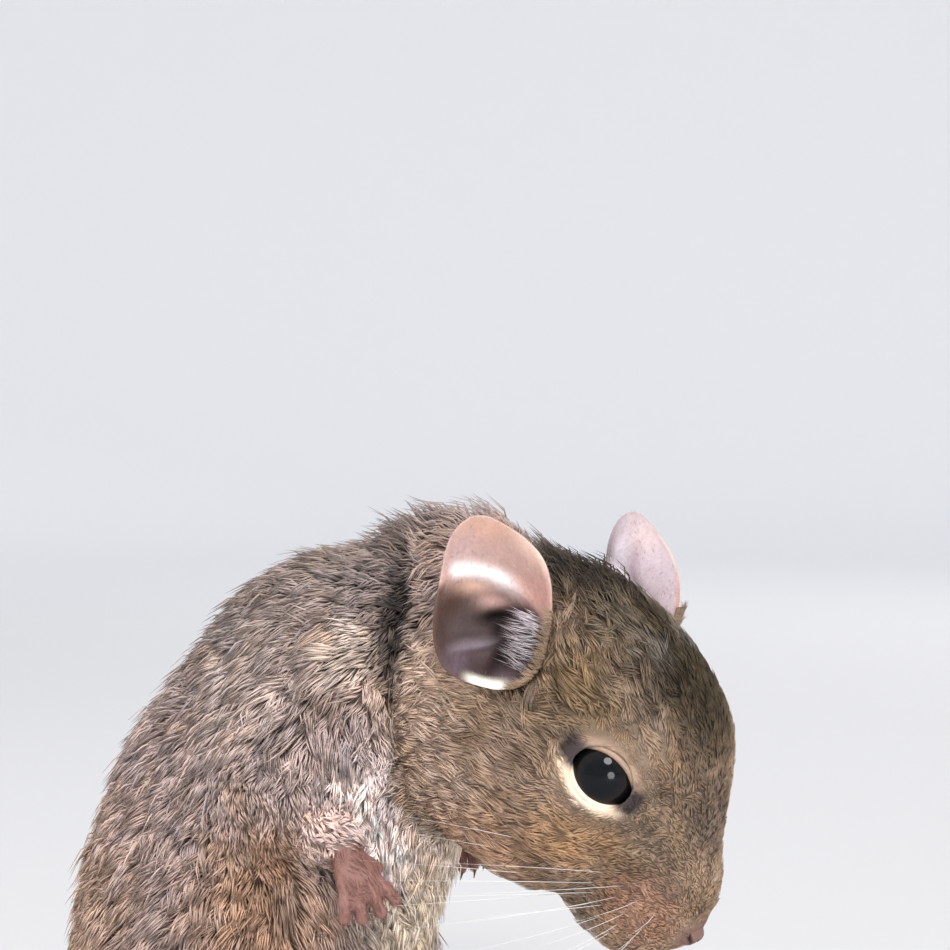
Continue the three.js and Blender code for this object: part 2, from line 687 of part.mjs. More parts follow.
const model = new THREE.Group();
for (const [name, solid] of Object.entries(solids)) {
  const { vertProperties, triVerts } = largest(solid).getMesh();
  const geometry = new THREE.BufferGeometry();
  geometry.setAttribute("position", new THREE.BufferAttribute(vertProperties, 3));
  geometry.setIndex(new THREE.BufferAttribute(triVerts, 1));
  const finish = FINISHES[name.split("_")[0]] ?? COAT;
  const mesh = new THREE.Mesh(geometry, new THREE.MeshStandardMaterial(finish));
  mesh.name = name;
  model.add(mesh);
}

const extent = new THREE.Box3().setFromObject(model);
const middle = extent.getCenter(new THREE.Vector3());
model.position.set(-middle.x, -middle.y, 0);

export default model;
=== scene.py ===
import math

import bpy
import numpy as np
from mathutils import Matrix, Vector
from mathutils.bvhtree import BVHTree
from mathutils.kdtree import KDTree


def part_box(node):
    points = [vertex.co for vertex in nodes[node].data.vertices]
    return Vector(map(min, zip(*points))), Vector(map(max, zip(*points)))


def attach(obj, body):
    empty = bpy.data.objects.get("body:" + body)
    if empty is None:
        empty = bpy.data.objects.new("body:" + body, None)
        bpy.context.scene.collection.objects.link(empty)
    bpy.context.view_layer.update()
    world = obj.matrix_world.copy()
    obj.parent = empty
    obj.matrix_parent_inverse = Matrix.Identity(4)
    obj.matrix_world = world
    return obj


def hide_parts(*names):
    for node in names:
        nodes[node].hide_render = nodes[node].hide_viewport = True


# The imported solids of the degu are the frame. Sizes below are in millimetres, as the solids'
# source has them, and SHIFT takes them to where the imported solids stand. The head has a frame
# of its own: x to the nose, z to the crown.
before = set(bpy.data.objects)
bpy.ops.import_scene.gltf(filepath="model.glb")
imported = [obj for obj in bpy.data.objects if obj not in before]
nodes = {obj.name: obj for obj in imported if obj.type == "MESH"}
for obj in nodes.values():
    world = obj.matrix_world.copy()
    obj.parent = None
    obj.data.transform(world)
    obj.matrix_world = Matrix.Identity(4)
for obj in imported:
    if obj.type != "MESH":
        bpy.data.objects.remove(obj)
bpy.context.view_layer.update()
MM = 0.001


def node_middle(name):
    low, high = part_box(name)
    return np.array(low + high) / (2 * MM)


HEAD_YAW, HEAD_PITCH = math.radians(-20), math.radians(38)
HEAD_TURN = np.array(Matrix.Rotation(HEAD_YAW, 3, "Z") @ Matrix.Rotation(HEAD_PITCH, 3, "Y"))
LEFT_EYE = np.array([7.0, 8.7, 6.3])
HEAD_AT = node_middle("eye_right") - HEAD_TURN @ (LEFT_EYE * (1, -1, 1))
HEAD_IN_SOURCE = np.array([34.0, -5.0, 47.5])
SHIFT = HEAD_AT - HEAD_IN_SOURCE
SHIFT[2] = 0.0


def from_head(points):
    """Places in the head's frame, as places of the whole model."""
    return np.asarray(points, float) @ HEAD_TURN.T + HEAD_AT


def to_head(points):
    return (points - HEAD_AT) @ HEAD_TURN


# The camera stands a little to the front of the animal's right side and about as low as its
# head, as far off as gives the photograph's framing.
AZIMUTH, ELEVATION = math.radians(15), math.radians(2)
CAMERA_FROM_HEAD = np.array([46.8, -218.17, 39.78])
SENSOR_WIDTH, FOCAL_PIXELS, PICTURE_WIDTH = 36, 1980, 950
toward_camera = Vector((
    math.sin(AZIMUTH) * math.cos(ELEVATION),
    -math.cos(AZIMUTH) * math.cos(ELEVATION),
    math.sin(ELEVATION),
))
camera_data = bpy.data.cameras.new("camera")
camera_data.sensor_width = SENSOR_WIDTH
camera_data.lens = SENSOR_WIDTH * FOCAL_PIXELS / PICTURE_WIDTH
camera_data.clip_start = 0.01
camera = bpy.data.objects.new("camera", camera_data)
bpy.context.scene.collection.objects.link(camera)
camera.rotation_euler = toward_camera.to_track_quat("Z", "Y").to_euler()
camera.location = Vector(HEAD_AT + CAMERA_FROM_HEAD) * MM
bpy.context.scene.camera = camera

# The skin is one closed sheet of flesh from nose to tail. It is made of the solids, each grown
# a little so that no seam stays between them, then smoothed and drawn in to lie under the tips
# of the coat: deepest on the body, and hardly at all at the nose, the lids and the toes.
FLESH = [
    "head", "neck", "torso", "foreleg_right", "foreleg_left", "hindleg_right", "hindleg_left",
    "tail_base", "tail_middle",
]
SOLIDS_GROWN, SKIN_CELL, WELD = 0.22, 0.66, 0.002
BODY_SMOOTHING, HEAD_SMOOTHING, TAIL_SMOOTHING, LID_SMOOTHING, LID_REACH = 35, 8, 6, 4, 6.5
BODY_COAT_DEPTH, TAIL_COAT_DEPTH, LEAST_COAT_DEPTH = 1.9, 0.75, 0.05
WRIST_AT = {"right": (10.6, -17.2, 38.8), "left": (12.6, 16.2, 37.0)}
HEEL_AT, HINDFOOT_TURN = (-9.0, 16.0, 0.0), math.radians(7)
TAIL_LENGTH, TAIL_BEND = 100.0, 85.0
NECK_FOLD = [(16.4, 3.0, 69.0), (16.4, 6.6, 66.6), (15.7, 9.2, 63.8), (15.0, 10.9, 61),
             (14.7, 12.0, 56.6), (14.6, 12.1, 52.4), (14.8, 11.7, 48.5)]
FOLD_DEPTH, FOLD_WIDTH, BANK_RISE, BANK_AT, BANK_WIDTH = 1.5, 1.7, 0.5, 4.2, 1.6
MUZZLE_PAD_AT, MUZZLE_PAD_RADII, MUZZLE_PAD_RISE = (17.0, 4.6, -6.0), (5, 4, 4), 0.45


def linked(name, mesh):
    made = bpy.data.objects.new(name, mesh)
    bpy.context.scene.collection.objects.link(made)
    return made


def triangle_mesh(name, points, triangles):
    mesh = bpy.data.meshes.new(name)
    mesh.vertices.add(len(points))
    mesh.vertices.foreach_set("co", (np.asarray(points, np.float32) * MM).ravel())
    mesh.loops.add(3 * len(triangles))
    mesh.loops.foreach_set("vertex_index", np.asarray(triangles, np.int32).ravel())
    mesh.polygons.add(len(triangles))
    mesh.polygons.foreach_set("loop_start", np.arange(0, 3 * len(triangles), 3, dtype=np.int32))
    mesh.update(calc_edges=True)
    mesh.shade_smooth()
    return mesh


def points_of(mesh):
    flat = np.empty(3 * len(mesh.vertices), np.float32)
    mesh.vertices.foreach_get("co", flat)
    return flat.reshape(-1, 3).astype(float) / MM


def triangles_of(mesh):
    mesh.calc_loop_triangles()
    flat = np.empty(3 * len(mesh.loop_triangles), np.int32)
    mesh.loop_triangles.foreach_get("vertices", flat)
    return flat.reshape(-1, 3)


def unit(vectors):
    return vectors / np.maximum(np.linalg.norm(vectors, axis=-1, keepdims=True), 1e-9)


def normals_of(points, triangles):
    corners = points[triangles]
    faces = np.cross(corners[:, 1] - corners[:, 0], corners[:, 2] - corners[:, 0])
    total = np.zeros_like(points)
    for axis in range(3):
        for corner in range(3):
            total[:, axis] += np.bincount(triangles[:, corner], faces[:, axis], len(points))
    return unit(total)


def smoothstep(low, high, value):
    share = np.clip((value - low) / (high - low), 0, 1)
    return share * share * (3 - 2 * share)


def bump_at(value, width):
    """1 where the value is 0, falling softly away over the width."""
    return np.exp(-((value / width) ** 2))


def nearness(points, middle, radii):
    """1 at the middle of a soft egg, 0 outside it."""
    reach = np.linalg.norm((points - np.asarray(middle)) / np.asarray(radii), axis=-1)
    return 1 - smoothstep(0.35, 1.0, reach)


def tail_path(share):
    """The tail's middle line and radius, at shares of its length from its root."""
    turn = share * TAIL_LENGTH / TAIL_BEND
    radius = 2.8 - 1.3 * share + 0.6 * np.exp(-12 * share)
    lift = 7 * np.exp(-((share * TAIL_LENGTH / 9) ** 2))
    x = -22 - TAIL_BEND * np.sin(turn)
    y = TAIL_BEND * (1 - np.cos(turn))
    middle = np.stack([x, y, radius - 0.15 + lift], -1) + SHIFT
    return middle, radius


def tube(middles, radii, sides, up=(0.0, 0.0, 1.0)):
    """A closed tube round a row of points; a radius may be one number or (width, height)."""
    radii = np.asarray(radii, float)
    radii = radii if radii.ndim == 2 else np.stack([radii, radii], 1)
    along = unit(np.gradient(middles, axis=0))
    across = unit(np.cross(np.asarray(up), along))
    over = np.cross(along, across)
    angles = 2 * np.pi * np.arange(sides) / sides
    ring = (np.cos(angles)[None, :, None] * across[:, None] * radii[:, None, :1]
            + np.sin(angles)[None, :, None] * over[:, None] * radii[:, None, 1:])
    points = (middles[:, None] + ring).reshape(-1, 3)
    rows = len(middles)
    first = np.arange(sides)
    after = (first + 1) % sides
    faces = []
    for row in range(rows - 1):
        a, b = row * sides + first, row * sides + after
        faces += [np.stack([a, b, b + sides], 1), np.stack([a, b + sides, a + sides], 1)]
    last = (rows - 1) * sides
    start, end = rows * sides, rows * sides + 1
    faces.append(np.stack([after, first, np.full(sides, start)], 1))
    faces.append(np.stack([last + first, last + after, np.full(sides, end)], 1))
    return np.vstack([points, middles[:1], middles[-1:]]), np.vstack(faces)


def welded(name):
    """A solid of the frame, with the loose corners of its triangles made one."""
    mesh = nodes[name].data
    points, triangles = points_of(mesh), triangles_of(mesh)
    keys = np.round(points / WELD).astype(np.int64)
    _, first, inverse = np.unique(keys, axis=0, return_index=True, return_inverse=True)
    triangles = inverse.reshape(-1)[triangles]
    points = points[first]
    flat = (triangles[:, 0] == triangles[:, 1]) | (triangles[:, 1] == triangles[:, 2])
    flat |= triangles[:, 0] == triangles[:, 2]
    return points, triangles[~flat]


def joined(shapes):
    """Several shapes as one list of points and one of triangles."""
    all_points, all_triangles, count = [], [], 0
    for points, triangles in shapes:
        all_points.append(points)
        all_triangles.append(triangles + count)
        count += len(points)
    return np.vstack(all_points), np.vstack(all_triangles)


def remeshed(name, shapes, cell):
    """Overlapping closed shapes melted into one sheet of even cells."""
    made = linked(name, triangle_mesh(name, *joined(shapes)))
    cells = made.modifiers.new("cells", "REMESH")
    cells.mode = "VOXEL"
    cells.voxel_size = cell * MM
    graph = bpy.context.evaluated_depsgraph_get()
    mesh = bpy.data.meshes.new_from_object(made.evaluated_get(graph))
    bpy.data.objects.remove(made)
    return mesh


def outer_shell(points, triangles):
    """Only the largest closed surface, found by spreading the lowest vertex number."""
    label = np.arange(len(points))
    edges = np.vstack([triangles[:, :2], triangles[:, 1:], triangles[:, ::2]])
    while True:
        low = np.minimum(label[edges[:, 0]], label[edges[:, 1]])
        fresh = label.copy()
        np.minimum.at(fresh, edges[:, 0], low)
        np.minimum.at(fresh, edges[:, 1], low)
        fresh = fresh[fresh]
        if (fresh == label).all():
            break
        label = fresh
    best = np.bincount(label).argmax()
    keep = label == best
    number = np.cumsum(keep) - 1
    return points[keep], number[triangles[keep[triangles[:, 0]]]]


def smoothed(points, triangles, rounds, strength=0.8):
    """Each vertex moves to the mean of its neighbours, as many times as its own count says."""
    edges = np.sort(np.vstack([triangles[:, :2], triangles[:, 1:], triangles[:, ::2]]), axis=1)
    edges = np.unique(edges, axis=0)
    a, b = edges[:, 0], edges[:, 1]
    count = np.bincount(a, minlength=len(points)) + np.bincount(b, minlength=len(points))
    for step in range(int(rounds.max())):
        share = np.clip(rounds - step, 0, 1)[:, None] * strength
        mean = np.empty_like(points)
        for axis in range(3):
            total = np.bincount(a, points[b, axis], len(points))
            total += np.bincount(b, points[a, axis], len(points))
            mean[:, axis] = total / count
        points = points + share * (mean - points)
    return points


def folded(points):
    """Both sides as one: the right side turned over onto the left."""
    points = points.copy()
    points[:, 1] = np.abs(points[:, 1])
    return points


def headness(points):
    """1 on the head, 0 on the body, soft across the neck and the throat."""
    local = to_head(points)
    throat = (local - (-6, 0, -14.5)) @ np.array([-0.55, 0, -0.85])
    return smoothstep(-17, -10, local[:, 0]) * smoothstep(1.6, -1.6, throat)


def from_line(points, start, end):
    """Distance from a line, and how far along it, below 0 before its start."""
    start, along = np.asarray(start), np.asarray(end) - start
    share = (points - start) @ along / (along @ along)
    nearest = start + np.clip(share, 0, 1)[:, None] * along
    return np.linalg.norm(points - nearest, axis=1), share


def paw_basis(side):
    """Columns: along the fingers, across them, and out of the paw's back."""
    along = unit(np.array([0.42, 0.06 * side, -0.9]))
    across = unit(np.cross([0.5, 0.85 * side, 0.12], along))
    return np.stack([along, across, np.cross(along, across)], 1)


def foot_share(points, foot="all"):
    """1 on the feet, fading into the fur of the wrists and heels."""
    share = np.zeros(len(points))
    design = points - SHIFT
    for name, side in (("right", -1), ("left", 1)):
        if foot != "hind":
            wrist = np.array(WRIST_AT[name])
            reach, along = from_line(design, wrist, wrist + 11 * paw_basis(side)[:, 0])
            share = np.maximum(share, smoothstep(5.2, 4.0, reach) * smoothstep(-0.08, 0.06, along))
        if foot != "fore":
            heel = np.array(HEEL_AT) * (1, side, 1) + (0, 0, 1.5)
            way = np.array([math.cos(HINDFOOT_TURN), side * math.sin(HINDFOOT_TURN), 0])
            reach, along = from_line(design, heel, heel + 26 * way)
            bare = smoothstep(0.12, 0.3, along) * smoothstep(7.5, 6, design[:, 2])
            share = np.maximum(share, smoothstep(5.6, 4.8, reach) * bare)
    return share


GAZE = unit(np.array([0.3, 0.9, 0.26]))
EYE_UP = unit(np.cross([1.0, 0, 0], GAZE))
EYE_BASIS = np.stack([np.cross(GAZE, EYE_UP), GAZE, EYE_UP], 1)


def eye_frame(points):
    """Places in the nearer eye's own frame: forward along its slit, out of it, up across it."""
    return (folded(to_head(points)) - LEFT_EYE) @ EYE_BASIS


def eye_reach(points):
    return np.linalg.norm(eye_frame(points), axis=1)


def fold_reach(points):
    """Distance from the fold where the neck meets the shoulders."""
    body = folded(points - SHIFT)
    reach = [from_line(body, start, end)[0] for start, end in zip(NECK_FOLD, NECK_FOLD[1:])]
    return np.min(reach, axis=0)


def tail_share(points):
    """1 on the tail, 0 on the body."""
    design = points - SHIFT
    return smoothstep(-22.5, -27, design[:, 0]) * smoothstep(12, 8, design[:, 2])


def coat_depth(points):
    """How far the tips of the coat stand off the skin."""
    local = to_head(points)
    on_head = headness(points)
    face = 0.42 + 1.0 * smoothstep(14, -8, local[:, 0])
    depth = BODY_COAT_DEPTH * (1 - on_head) + face * on_head
    depth *= 1 - 0.9 * nearness(local, (23.4, 0, -5), (5, 4.6, 4.6))
    depth *= smoothstep(4.9, 7.2, eye_reach(points))
    depth = depth * (1 - tail_share(points)) + TAIL_COAT_DEPTH * tail_share(points)
    depth *= 1 - 0.8 * foot_share(points)
    return np.maximum(depth, LEAST_COAT_DEPTH)


def grown(name, by):
    """A solid of the frame with its surface moved outward."""
    points, triangles = welded(name)
    return points + by * normals_of(points, triangles), triangles


solids = [grown(name, SOLIDS_GROWN) for name in FLESH]
middles, radii = tail_path(np.linspace(0.6, 0.995, 24))
solids.append(tube(middles, radii * np.linspace(1, 0.8, 24), 14))
flesh = remeshed("flesh", solids, SKIN_CELL)
points, triangles = outer_shell(points_of(flesh), triangles_of(flesh))
rounds = BODY_SMOOTHING + (HEAD_SMOOTHING - BODY_SMOOTHING) * headness(points)
rounds += (TAIL_SMOOTHING - rounds) * tail_share(points)
rounds = np.where(eye_reach(points) < LID_REACH, np.minimum(rounds, LID_SMOOTHING), rounds)
points = smoothed(points, triangles, rounds)
points = points - normals_of(points, triangles) * (SOLIDS_GROWN + coat_depth(points))[:, None]
points = smoothed(points, triangles, np.full(len(points), 2.0), 0.5)
pad = MUZZLE_PAD_RISE * nearness(folded(to_head(points)), MUZZLE_PAD_AT, MUZZLE_PAD_RADII)
reach = fold_reach(points)
bank = BANK_RISE * bump_at(reach - BANK_AT, BANK_WIDTH)
swell = pad + (bank - FOLD_DEPTH * bump_at(reach, FOLD_WIDTH))
points = points + normals_of(points, triangles) * swell[:, None]

# The paws are far finer than the body, so they are skinned apart: the hind feet from their
# solids, and the forepaws anew, each a palm with pads on a thin wrist, four spread fingers and
# a stub of a thumb. Its own frame runs along the fingers, across them and out of its back.
FOREPAW_CELL, HINDFOOT_CELL, PAW_SMOOTHING = 0.225, 0.31, 2
FINGER_RADIUS, THUMB_RADIUS, WRIST_RADIUS, FOREARM_RADIUS = 0.66, 0.58, 1.5, 2.2
FOREPAW_SCALE, FINGERS = 11.5 / 11.2, (3.1, 4.0, 4.2, 3.6)
ELBOW_AT = {"right": (1.0, -17.8, 44.0), "left": (1.0, 17.8, 44.0)}
HINDFOOT_GROWN = 0.1


def ball(middle, radii, rows=14, sides=20):
    """A closed ball, or an egg where the radii differ."""
    polar = np.linspace(0.03, math.pi - 0.03, rows)
    heights = np.stack([0 * polar, 0 * polar, np.cos(polar)], 1)
    points, faces = tube(heights, np.sin(polar), sides, up=(0, 1, 0))
    return points * radii + middle, faces


def outward(points, faces):
    """The same closed shape with its faces turned outward."""
    corners = points[faces]
    volume = (corners[:, 0] * np.cross(corners[:, 1], corners[:, 2])).sum()
    return points, faces if volume > 0 else faces[:, ::-1]


def digit(points, radius):
    """A rounded tube with a knuckle amid it and a pad at its end."""
    share = np.linspace(0, 1, len(points))
    radii = radius * (1 + 0.13 * bump_at(share - 0.45, 0.13) + 0.1 * bump_at(share - 0.86, 0.1))
    radii *= np.sqrt(1 - np.clip((share - 0.88) / 0.123, 0, 1) ** 2)
    return tube(points, radii, 14)


def finger_path(length, place, share):
    """A finger's middle line in its paw's own frame; place counts from the paw's middle."""
    rise = 0.5 * np.sin(math.pi * share) - 0.95 * share ** 2 - 0.25
    across = place * (1.12 + 0.29 * length * share)
    return np.stack([4.1 + (length + 0.5) * share, across, rise], -1)


PALM = np.array([  # along, half width, half height, height of its middle
    (-2.0, 1.45, 1.45, 0), (0, 1.5, 1.4, 0), (2.0, 2.0, 1.25, 0.1), (3.8, 2.4, 1.1, 0),
    (5.0, 2.25, 0.85, -0.2), (5.8, 1.5, 0.5, -0.3),
])
PALM_PADS = [  # along, across, out, radius
    (4.4, 1.3, -0.95, 0.75), (4.7, 0, -1.05, 0.75), (4.4, -1.3, -0.95, 0.75),
    (1.0, 0.9, -1.05, 0.8), (1.0, -0.9, -1.05, 0.8),
]


def forepaw(side):
    """Palm, pads, fingers and thumb in the paw's own frame."""
    rows = np.linspace(PALM[0, 0], PALM[-1, 0], 22)
    wide, high, rise = (np.interp(rows, PALM[:, 0], PALM[:, n]) for n in (1, 2, 3))
    paw = [tube(np.stack([rows, 0 * rows, rise], 1), np.stack([wide, high], 1), 20)]
    paw += [ball((x, y, z), radius) for x, y, z, radius in PALM_PADS]
    for n, length in enumerate(FINGERS):
        path = finger_path(length, -(n - 1.5) * side, np.linspace(0, 1, 16))
        paw.append(digit(path, FINGER_RADIUS))
    share = np.linspace(0, 1, 12)[:, None]
    thumb = np.array((1.8, 1.2, -0.3)) + share * (2.4, 1.9, -0.2) + share ** 2 * (0, -0.1, -0.4)
    paw.append(digit(thumb * (1, -side, 1), THUMB_RADIUS))
    return paw


def paw_skin(name, parts, cell):
    """The parts of two paws melted into their skin."""
    mesh = remeshed(name, [outward(*part) for part in parts], cell)
    foot, faces = points_of(mesh), triangles_of(mesh)
    return smoothed(foot, faces, np.full(len(foot), float(PAW_SMOOTHING)), 0.5), faces


fore_parts = []
for name, side in (("right", -1), ("left", 1)):
    basis = paw_basis(side) * FOREPAW_SCALE
    for part, faces in forepaw(side):
        fore_parts.append((part @ basis.T + WRIST_AT[name] + SHIFT, faces))
    wrist, elbow = np.array(WRIST_AT[name]), np.array(ELBOW_AT[name])
    path = wrist + (elbow - wrist) * np.linspace(-0.12, 0.4, 8)[:, None] + SHIFT
    fore_parts.append(tube(path, np.linspace(WRIST_RADIUS, FOREARM_RADIUS, 8), 14))
hind_parts = [grown(name, HINDFOOT_GROWN) for name in ("hindfoot_right", "hindfoot_left")]
skin_points, skin_triangles = joined([
    (points, triangles),
    paw_skin("forepaws", fore_parts, FOREPAW_CELL),
    paw_skin("hind feet", hind_parts, HINDFOOT_CELL),
])
skin_points[:, 2] = np.maximum(skin_points[:, 2], 0.02)
skin_normals = normals_of(skin_points, skin_triangles)

# The coat and the skin under it have the same markings: a grey-brown ground, buff cheeks, a dark
# crown, a white chest and pale lids. Each is a soft egg of colour, laid over those before it and
# the same on both sides: its middle, its radii, its colour and how strongly it covers. Shade is
# painted along the fold where the neck meets the shoulders.


def paint(red, green, blue):
    """A colour as a screen shows it, as the share of light it throws back."""
    return np.array([(value / 255) ** 2.2 for value in (red, green, blue)])


HEAD_MARKS = [
    ((2, 12, -4), (18, 10, 12), paint(158, 133, 114), 0.8),
    ((7, 13, -7), (7, 6, 5), paint(128, 98, 70), 0.75),
    ((-14, 12, 0), (10, 9, 11), paint(214, 186, 164), 0.75),
    ((4, 0, 17), (22, 11, 10), paint(56, 48, 35), 0.94),
    # A painted sheen: the lighter grey patch on the dark forehead.
    ((2.6, 4.2, 19), (4.5, 3.2, 4), paint(120, 112, 104), 0.6),
    ((-12, 0, 18), (13, 10, 9), paint(58, 51, 44), 0.9),
    ((-1.5, 4, 19), (6, 4, 5), paint(140, 124, 104), 0.45),
    ((1, 11, 12.5), (6, 5, 5), paint(122, 99, 69), 0.7),
    ((16, 0, 7), (10, 5, 6), paint(110, 95, 84), 0.8),
    ((2, 13, -9), (10, 7, 6), paint(196, 158, 132), 0.75),
    ((10, 10, -1), (8, 5, 5), paint(176, 140, 106), 0.8),
    ((-5, 14, -7), (7, 8, 7), paint(206, 178, 158), 0.6),
    ((18, 5, -4), (7, 6, 6), paint(168, 129, 108), 0.8),
    ((13, 0, -13), (10, 8, 5), paint(230, 210, 194), 0.9),
    ((-4, 0, -17), (14, 13, 8), paint(232, 214, 200), 0.95),
]
BODY_MARKS = [
    ((0, 0, 66), (26, 24, 20), paint(140, 126, 118), 0.8),
    ((-1, 17, 58), (12, 9, 12), paint(192, 174, 165), 0.6),
    ((-20, 0, 20), (24, 34, 30), paint(184, 152, 128), 0.85),
    ((4, 20, 34), (14, 9, 13), paint(170, 135, 109), 0.85),
    ((16, 0, 26), (17, 19, 26), paint(228, 210, 188), 0.95),
    ((11.5, 13, 42), (11.5, 10, 10.5), paint(255, 236, 230), 1.0),
    ((9, 17, 41), (6, 7, 6), paint(226, 196, 184), 0.85),
    ((11, 14, 60.5), (4, 6, 5), paint(214, 196, 180), 0.7),
    ((19.5, 8, 71), (4, 7, 5), paint(206, 180, 166), 0.8),
    ((-26, 0, 24), (7, 14, 8), paint(112, 92, 76), 0.6),
]
BODY_COAT, HEAD_COAT = paint(171, 151, 144), paint(150, 127, 106)
# Painted shade: the dark colour laid along the fold where the neck meets the shoulders.
FOLD_SHADE = paint(50, 48, 47)
FORE_SKIN, HIND_SKIN, TAIL_COAT = paint(144, 104, 94), paint(124, 102, 92), paint(74, 58, 48)
EYE_OPENING = (3.6, 2.65)
LID_PALE, LID_TAN, LID_DARK = paint(250, 222, 194), paint(162, 136, 116), paint(60, 50, 48)
# The darkest of these colours is painted shade, in the nostrils and the cleft under the nose.
NOSE_SKIN, NOSTRIL_SHADE, LIP_SKIN = paint(126, 92, 84), paint(24, 14, 14), paint(176, 126, 112)


def slit_reach(points):
    """1 on the edge of the eye's opening, more outside it."""
    place = eye_frame(points)
    reach = np.hypot(place[:, 0] / EYE_OPENING[0], place[:, 2] / EYE_OPENING[1])
    return np.where(place[:, 1] > 0.5, reach, 3.0)


def mottle(points, size, seed):
    """Soft patches about so many millimetres across, 0 on the mean and about 1 at most."""
    waves = np.random.default_rng(seed)
    ways = unit(waves.normal(size=(14, 3))) * waves.uniform(0.7, 1.5, (14, 1)) * math.pi / size
    return np.sin(points @ ways.T + waves.uniform(0, 2 * math.pi, 14)).sum(1) / math.sqrt(14)


def laid(colours, colour, share):
    """Colours with another laid over them, wholly where the share is 1."""
    return colours + (colour - colours) * share[:, None]


def markings(points):
    """The colour of coat or skin at each place, with painted shade along the fold of the neck."""
    local, body = folded(to_head(points)), folded(points - SHIFT)
    on_head = headness(points)
    colours = laid(np.tile(BODY_COAT, (len(points), 1)), HEAD_COAT, on_head)
    for place, radii, colour, strength in BODY_MARKS:
        colours = laid(colours, colour, strength * (1 - on_head) * nearness(body, place, radii))
    for place, radii, colour, strength in HEAD_MARKS:
        colours = laid(colours, colour, strength * nearness(local, place, radii))
    patchy = 0.16 * mottle(points, 2.6, 1) + 0.1 * mottle(points, 1.2, 2)
    warm = 0.022 * mottle(points, 3.4, 3)
    shade = np.stack([1 + patchy + warm, 1 + patchy, 1 + patchy - 1.5 * warm], 1)
    colours = np.clip(colours * shade, 0.002, 1)
    # Painted shade along the fold of the neck, widest and darkest in its upper part, fading at its
    # lower end.
    rise = body[:, 2]
    wide = 1.7 + 2.0 * smoothstep(57, 64, rise)
    deep = (0.5 + 0.45 * smoothstep(55, 62, rise)) * smoothstep(48, 54, rise)
    deep *= 1 - 0.35 * smoothstep(66, 70, rise)
    colours = laid(colours, FOLD_SHADE, deep * smoothstep(wide, 0.8, fold_reach(points)))
    place, rim = eye_frame(points), slit_reach(points)
    from_middle = np.maximum(np.hypot(place[:, 0], place[:, 2]), 0.1)
    below = smoothstep(-0.25, 0.45, -place[:, 2] / from_middle)
    colours = laid(colours, LID_TAN, smoothstep(1.5, 1.2, rim))
    colours = laid(colours, LID_PALE, smoothstep(1.6, 1.25, rim) * below)
    corner = smoothstep(2.3, 3.3, np.abs(place[:, 0])) * smoothstep(2.2, 1.0, np.abs(place[:, 2]))
    colours = laid(colours, LID_DARK, corner * smoothstep(1.7, 1.3, rim))
    colours = laid(colours, NOSE_SKIN, nearness(local, (24, 0, -5), (4.0, 3.4, 3.4)))
    colours = laid(colours, TAIL_COAT, tail_share(points))
    colours = laid(colours, FORE_SKIN, foot_share(points, "fore"))
    return laid(colours, HIND_SKIN, foot_share(points, "hind"))


# Rims of bare skin close round each eye, two soft folds that step down from the fur to the eye
# and draw out to a point in front and behind. Each is heavier above the eye than below it.
LID_FOLDS = [(1.02, 0.12, 0.3), (1.14, -0.06, 0.34)]  # spread, how far off the eye, thickness
LID_HEIGHT, LID_STEPS, EYE_RADIUS = 0.34, 96, 4.3


def ring_tube(path, out, width, height, sides=8):
    """A closed ring round a loop of points, flat against what lies under it."""
    along = unit(np.roll(path, -1, 0) - np.roll(path, 1, 0))
    flat = np.cross(along, out)
    corners = 2 * np.pi * np.arange(sides) / sides
    rim = (path[:, None] + np.cos(corners)[None, :, None] * flat[:, None] * width[:, None, None]
           + np.sin(corners)[None, :, None] * out[:, None] * height)
    index = np.arange(len(path) * sides).reshape(len(path), sides)
    onward, across = np.roll(index, -1, 0), np.roll(index, -1, 1)
    far = np.roll(onward, -1, 1)
    faces = np.vstack([np.stack([index, onward, far], -1).reshape(-1, 3),
                       np.stack([index, far, across], -1).reshape(-1, 3)])
    return rim.reshape(-1, 3), faces


details = []
for side in (-1, 1):
    turn = np.linspace(0, 2 * np.pi, LID_STEPS, endpoint=False)
    drawn = 1 + 0.1 * np.abs(np.cos(turn)) ** 6
    for spread, off, thick in LID_FOLDS:
        x = EYE_OPENING[0] * spread * drawn * np.cos(turn)
        z = EYE_OPENING[1] * spread * np.sin(turn)
        y = np.sqrt(np.maximum((EYE_RADIUS + off) ** 2 - x * x - z * z, 0.2))
        path = np.stack([x, y, z], 1)
        heavy = thick * (1 + 0.25 * smoothstep(-0.2, 0.9, np.sin(turn)))
        points, faces = ring_tube(path, unit(path), heavy, LID_HEIGHT)
        points = (points @ EYE_BASIS.T + LEFT_EYE) * (1, side, 1)
        details.append(outward(from_head(points), faces))

# The bare end of the nose is a small pad with a slit nostril in each side and a cleft under it
# that runs down to the split upper lip; the slits and the cleft are painted dark as their shade.
# The lips are thin rolls of skin, laid where rays from inside the mouth come out through the skin.
NOSE_AT, NOSE_RADII = np.array([22.2, 0, -4.8]), np.array([1.65, 1.9, 1.6])
NOSTRIL = [(0.55, -0.5), (0.95, -0.25), (1.35, 0.2), (1.6, 0.75)]  # aside, up
FAR_OFF = 9.0
MOUTH_AT = (14.7, 0, -6.2)
LIP_WAYS = [(-2, 6, -4.4), (0.6, 5, -4.6), (2.4, 4.1, -4.5), (3.8, 3, -4.4), (5.0, 1.5, -4.4),
            (5.6, 0, -4.6)]
LIPS, LIP_STEPS = ((0.3, 0.26), (-0.3, 0.24)), 60  # rise and radius of each lip
SPLIT_WAYS, SPLIT_RADIUS, SPLIT_STEPS = (-5.2, -3.6, -2.2, -0.8, 0.4), 0.24, 20
skin_finder = BVHTree.FromPolygons(skin_points.tolist(), skin_triangles.tolist())


def on_skin(start, way):
    """Where a ray in the head's frame leaves the skin."""
    start, way = from_head(start), HEAD_TURN @ unit(np.array(way, float))
    hit = skin_finder.ray_cast(Vector(start + 20 * way), Vector(-way))[0]
    return np.array(hit)


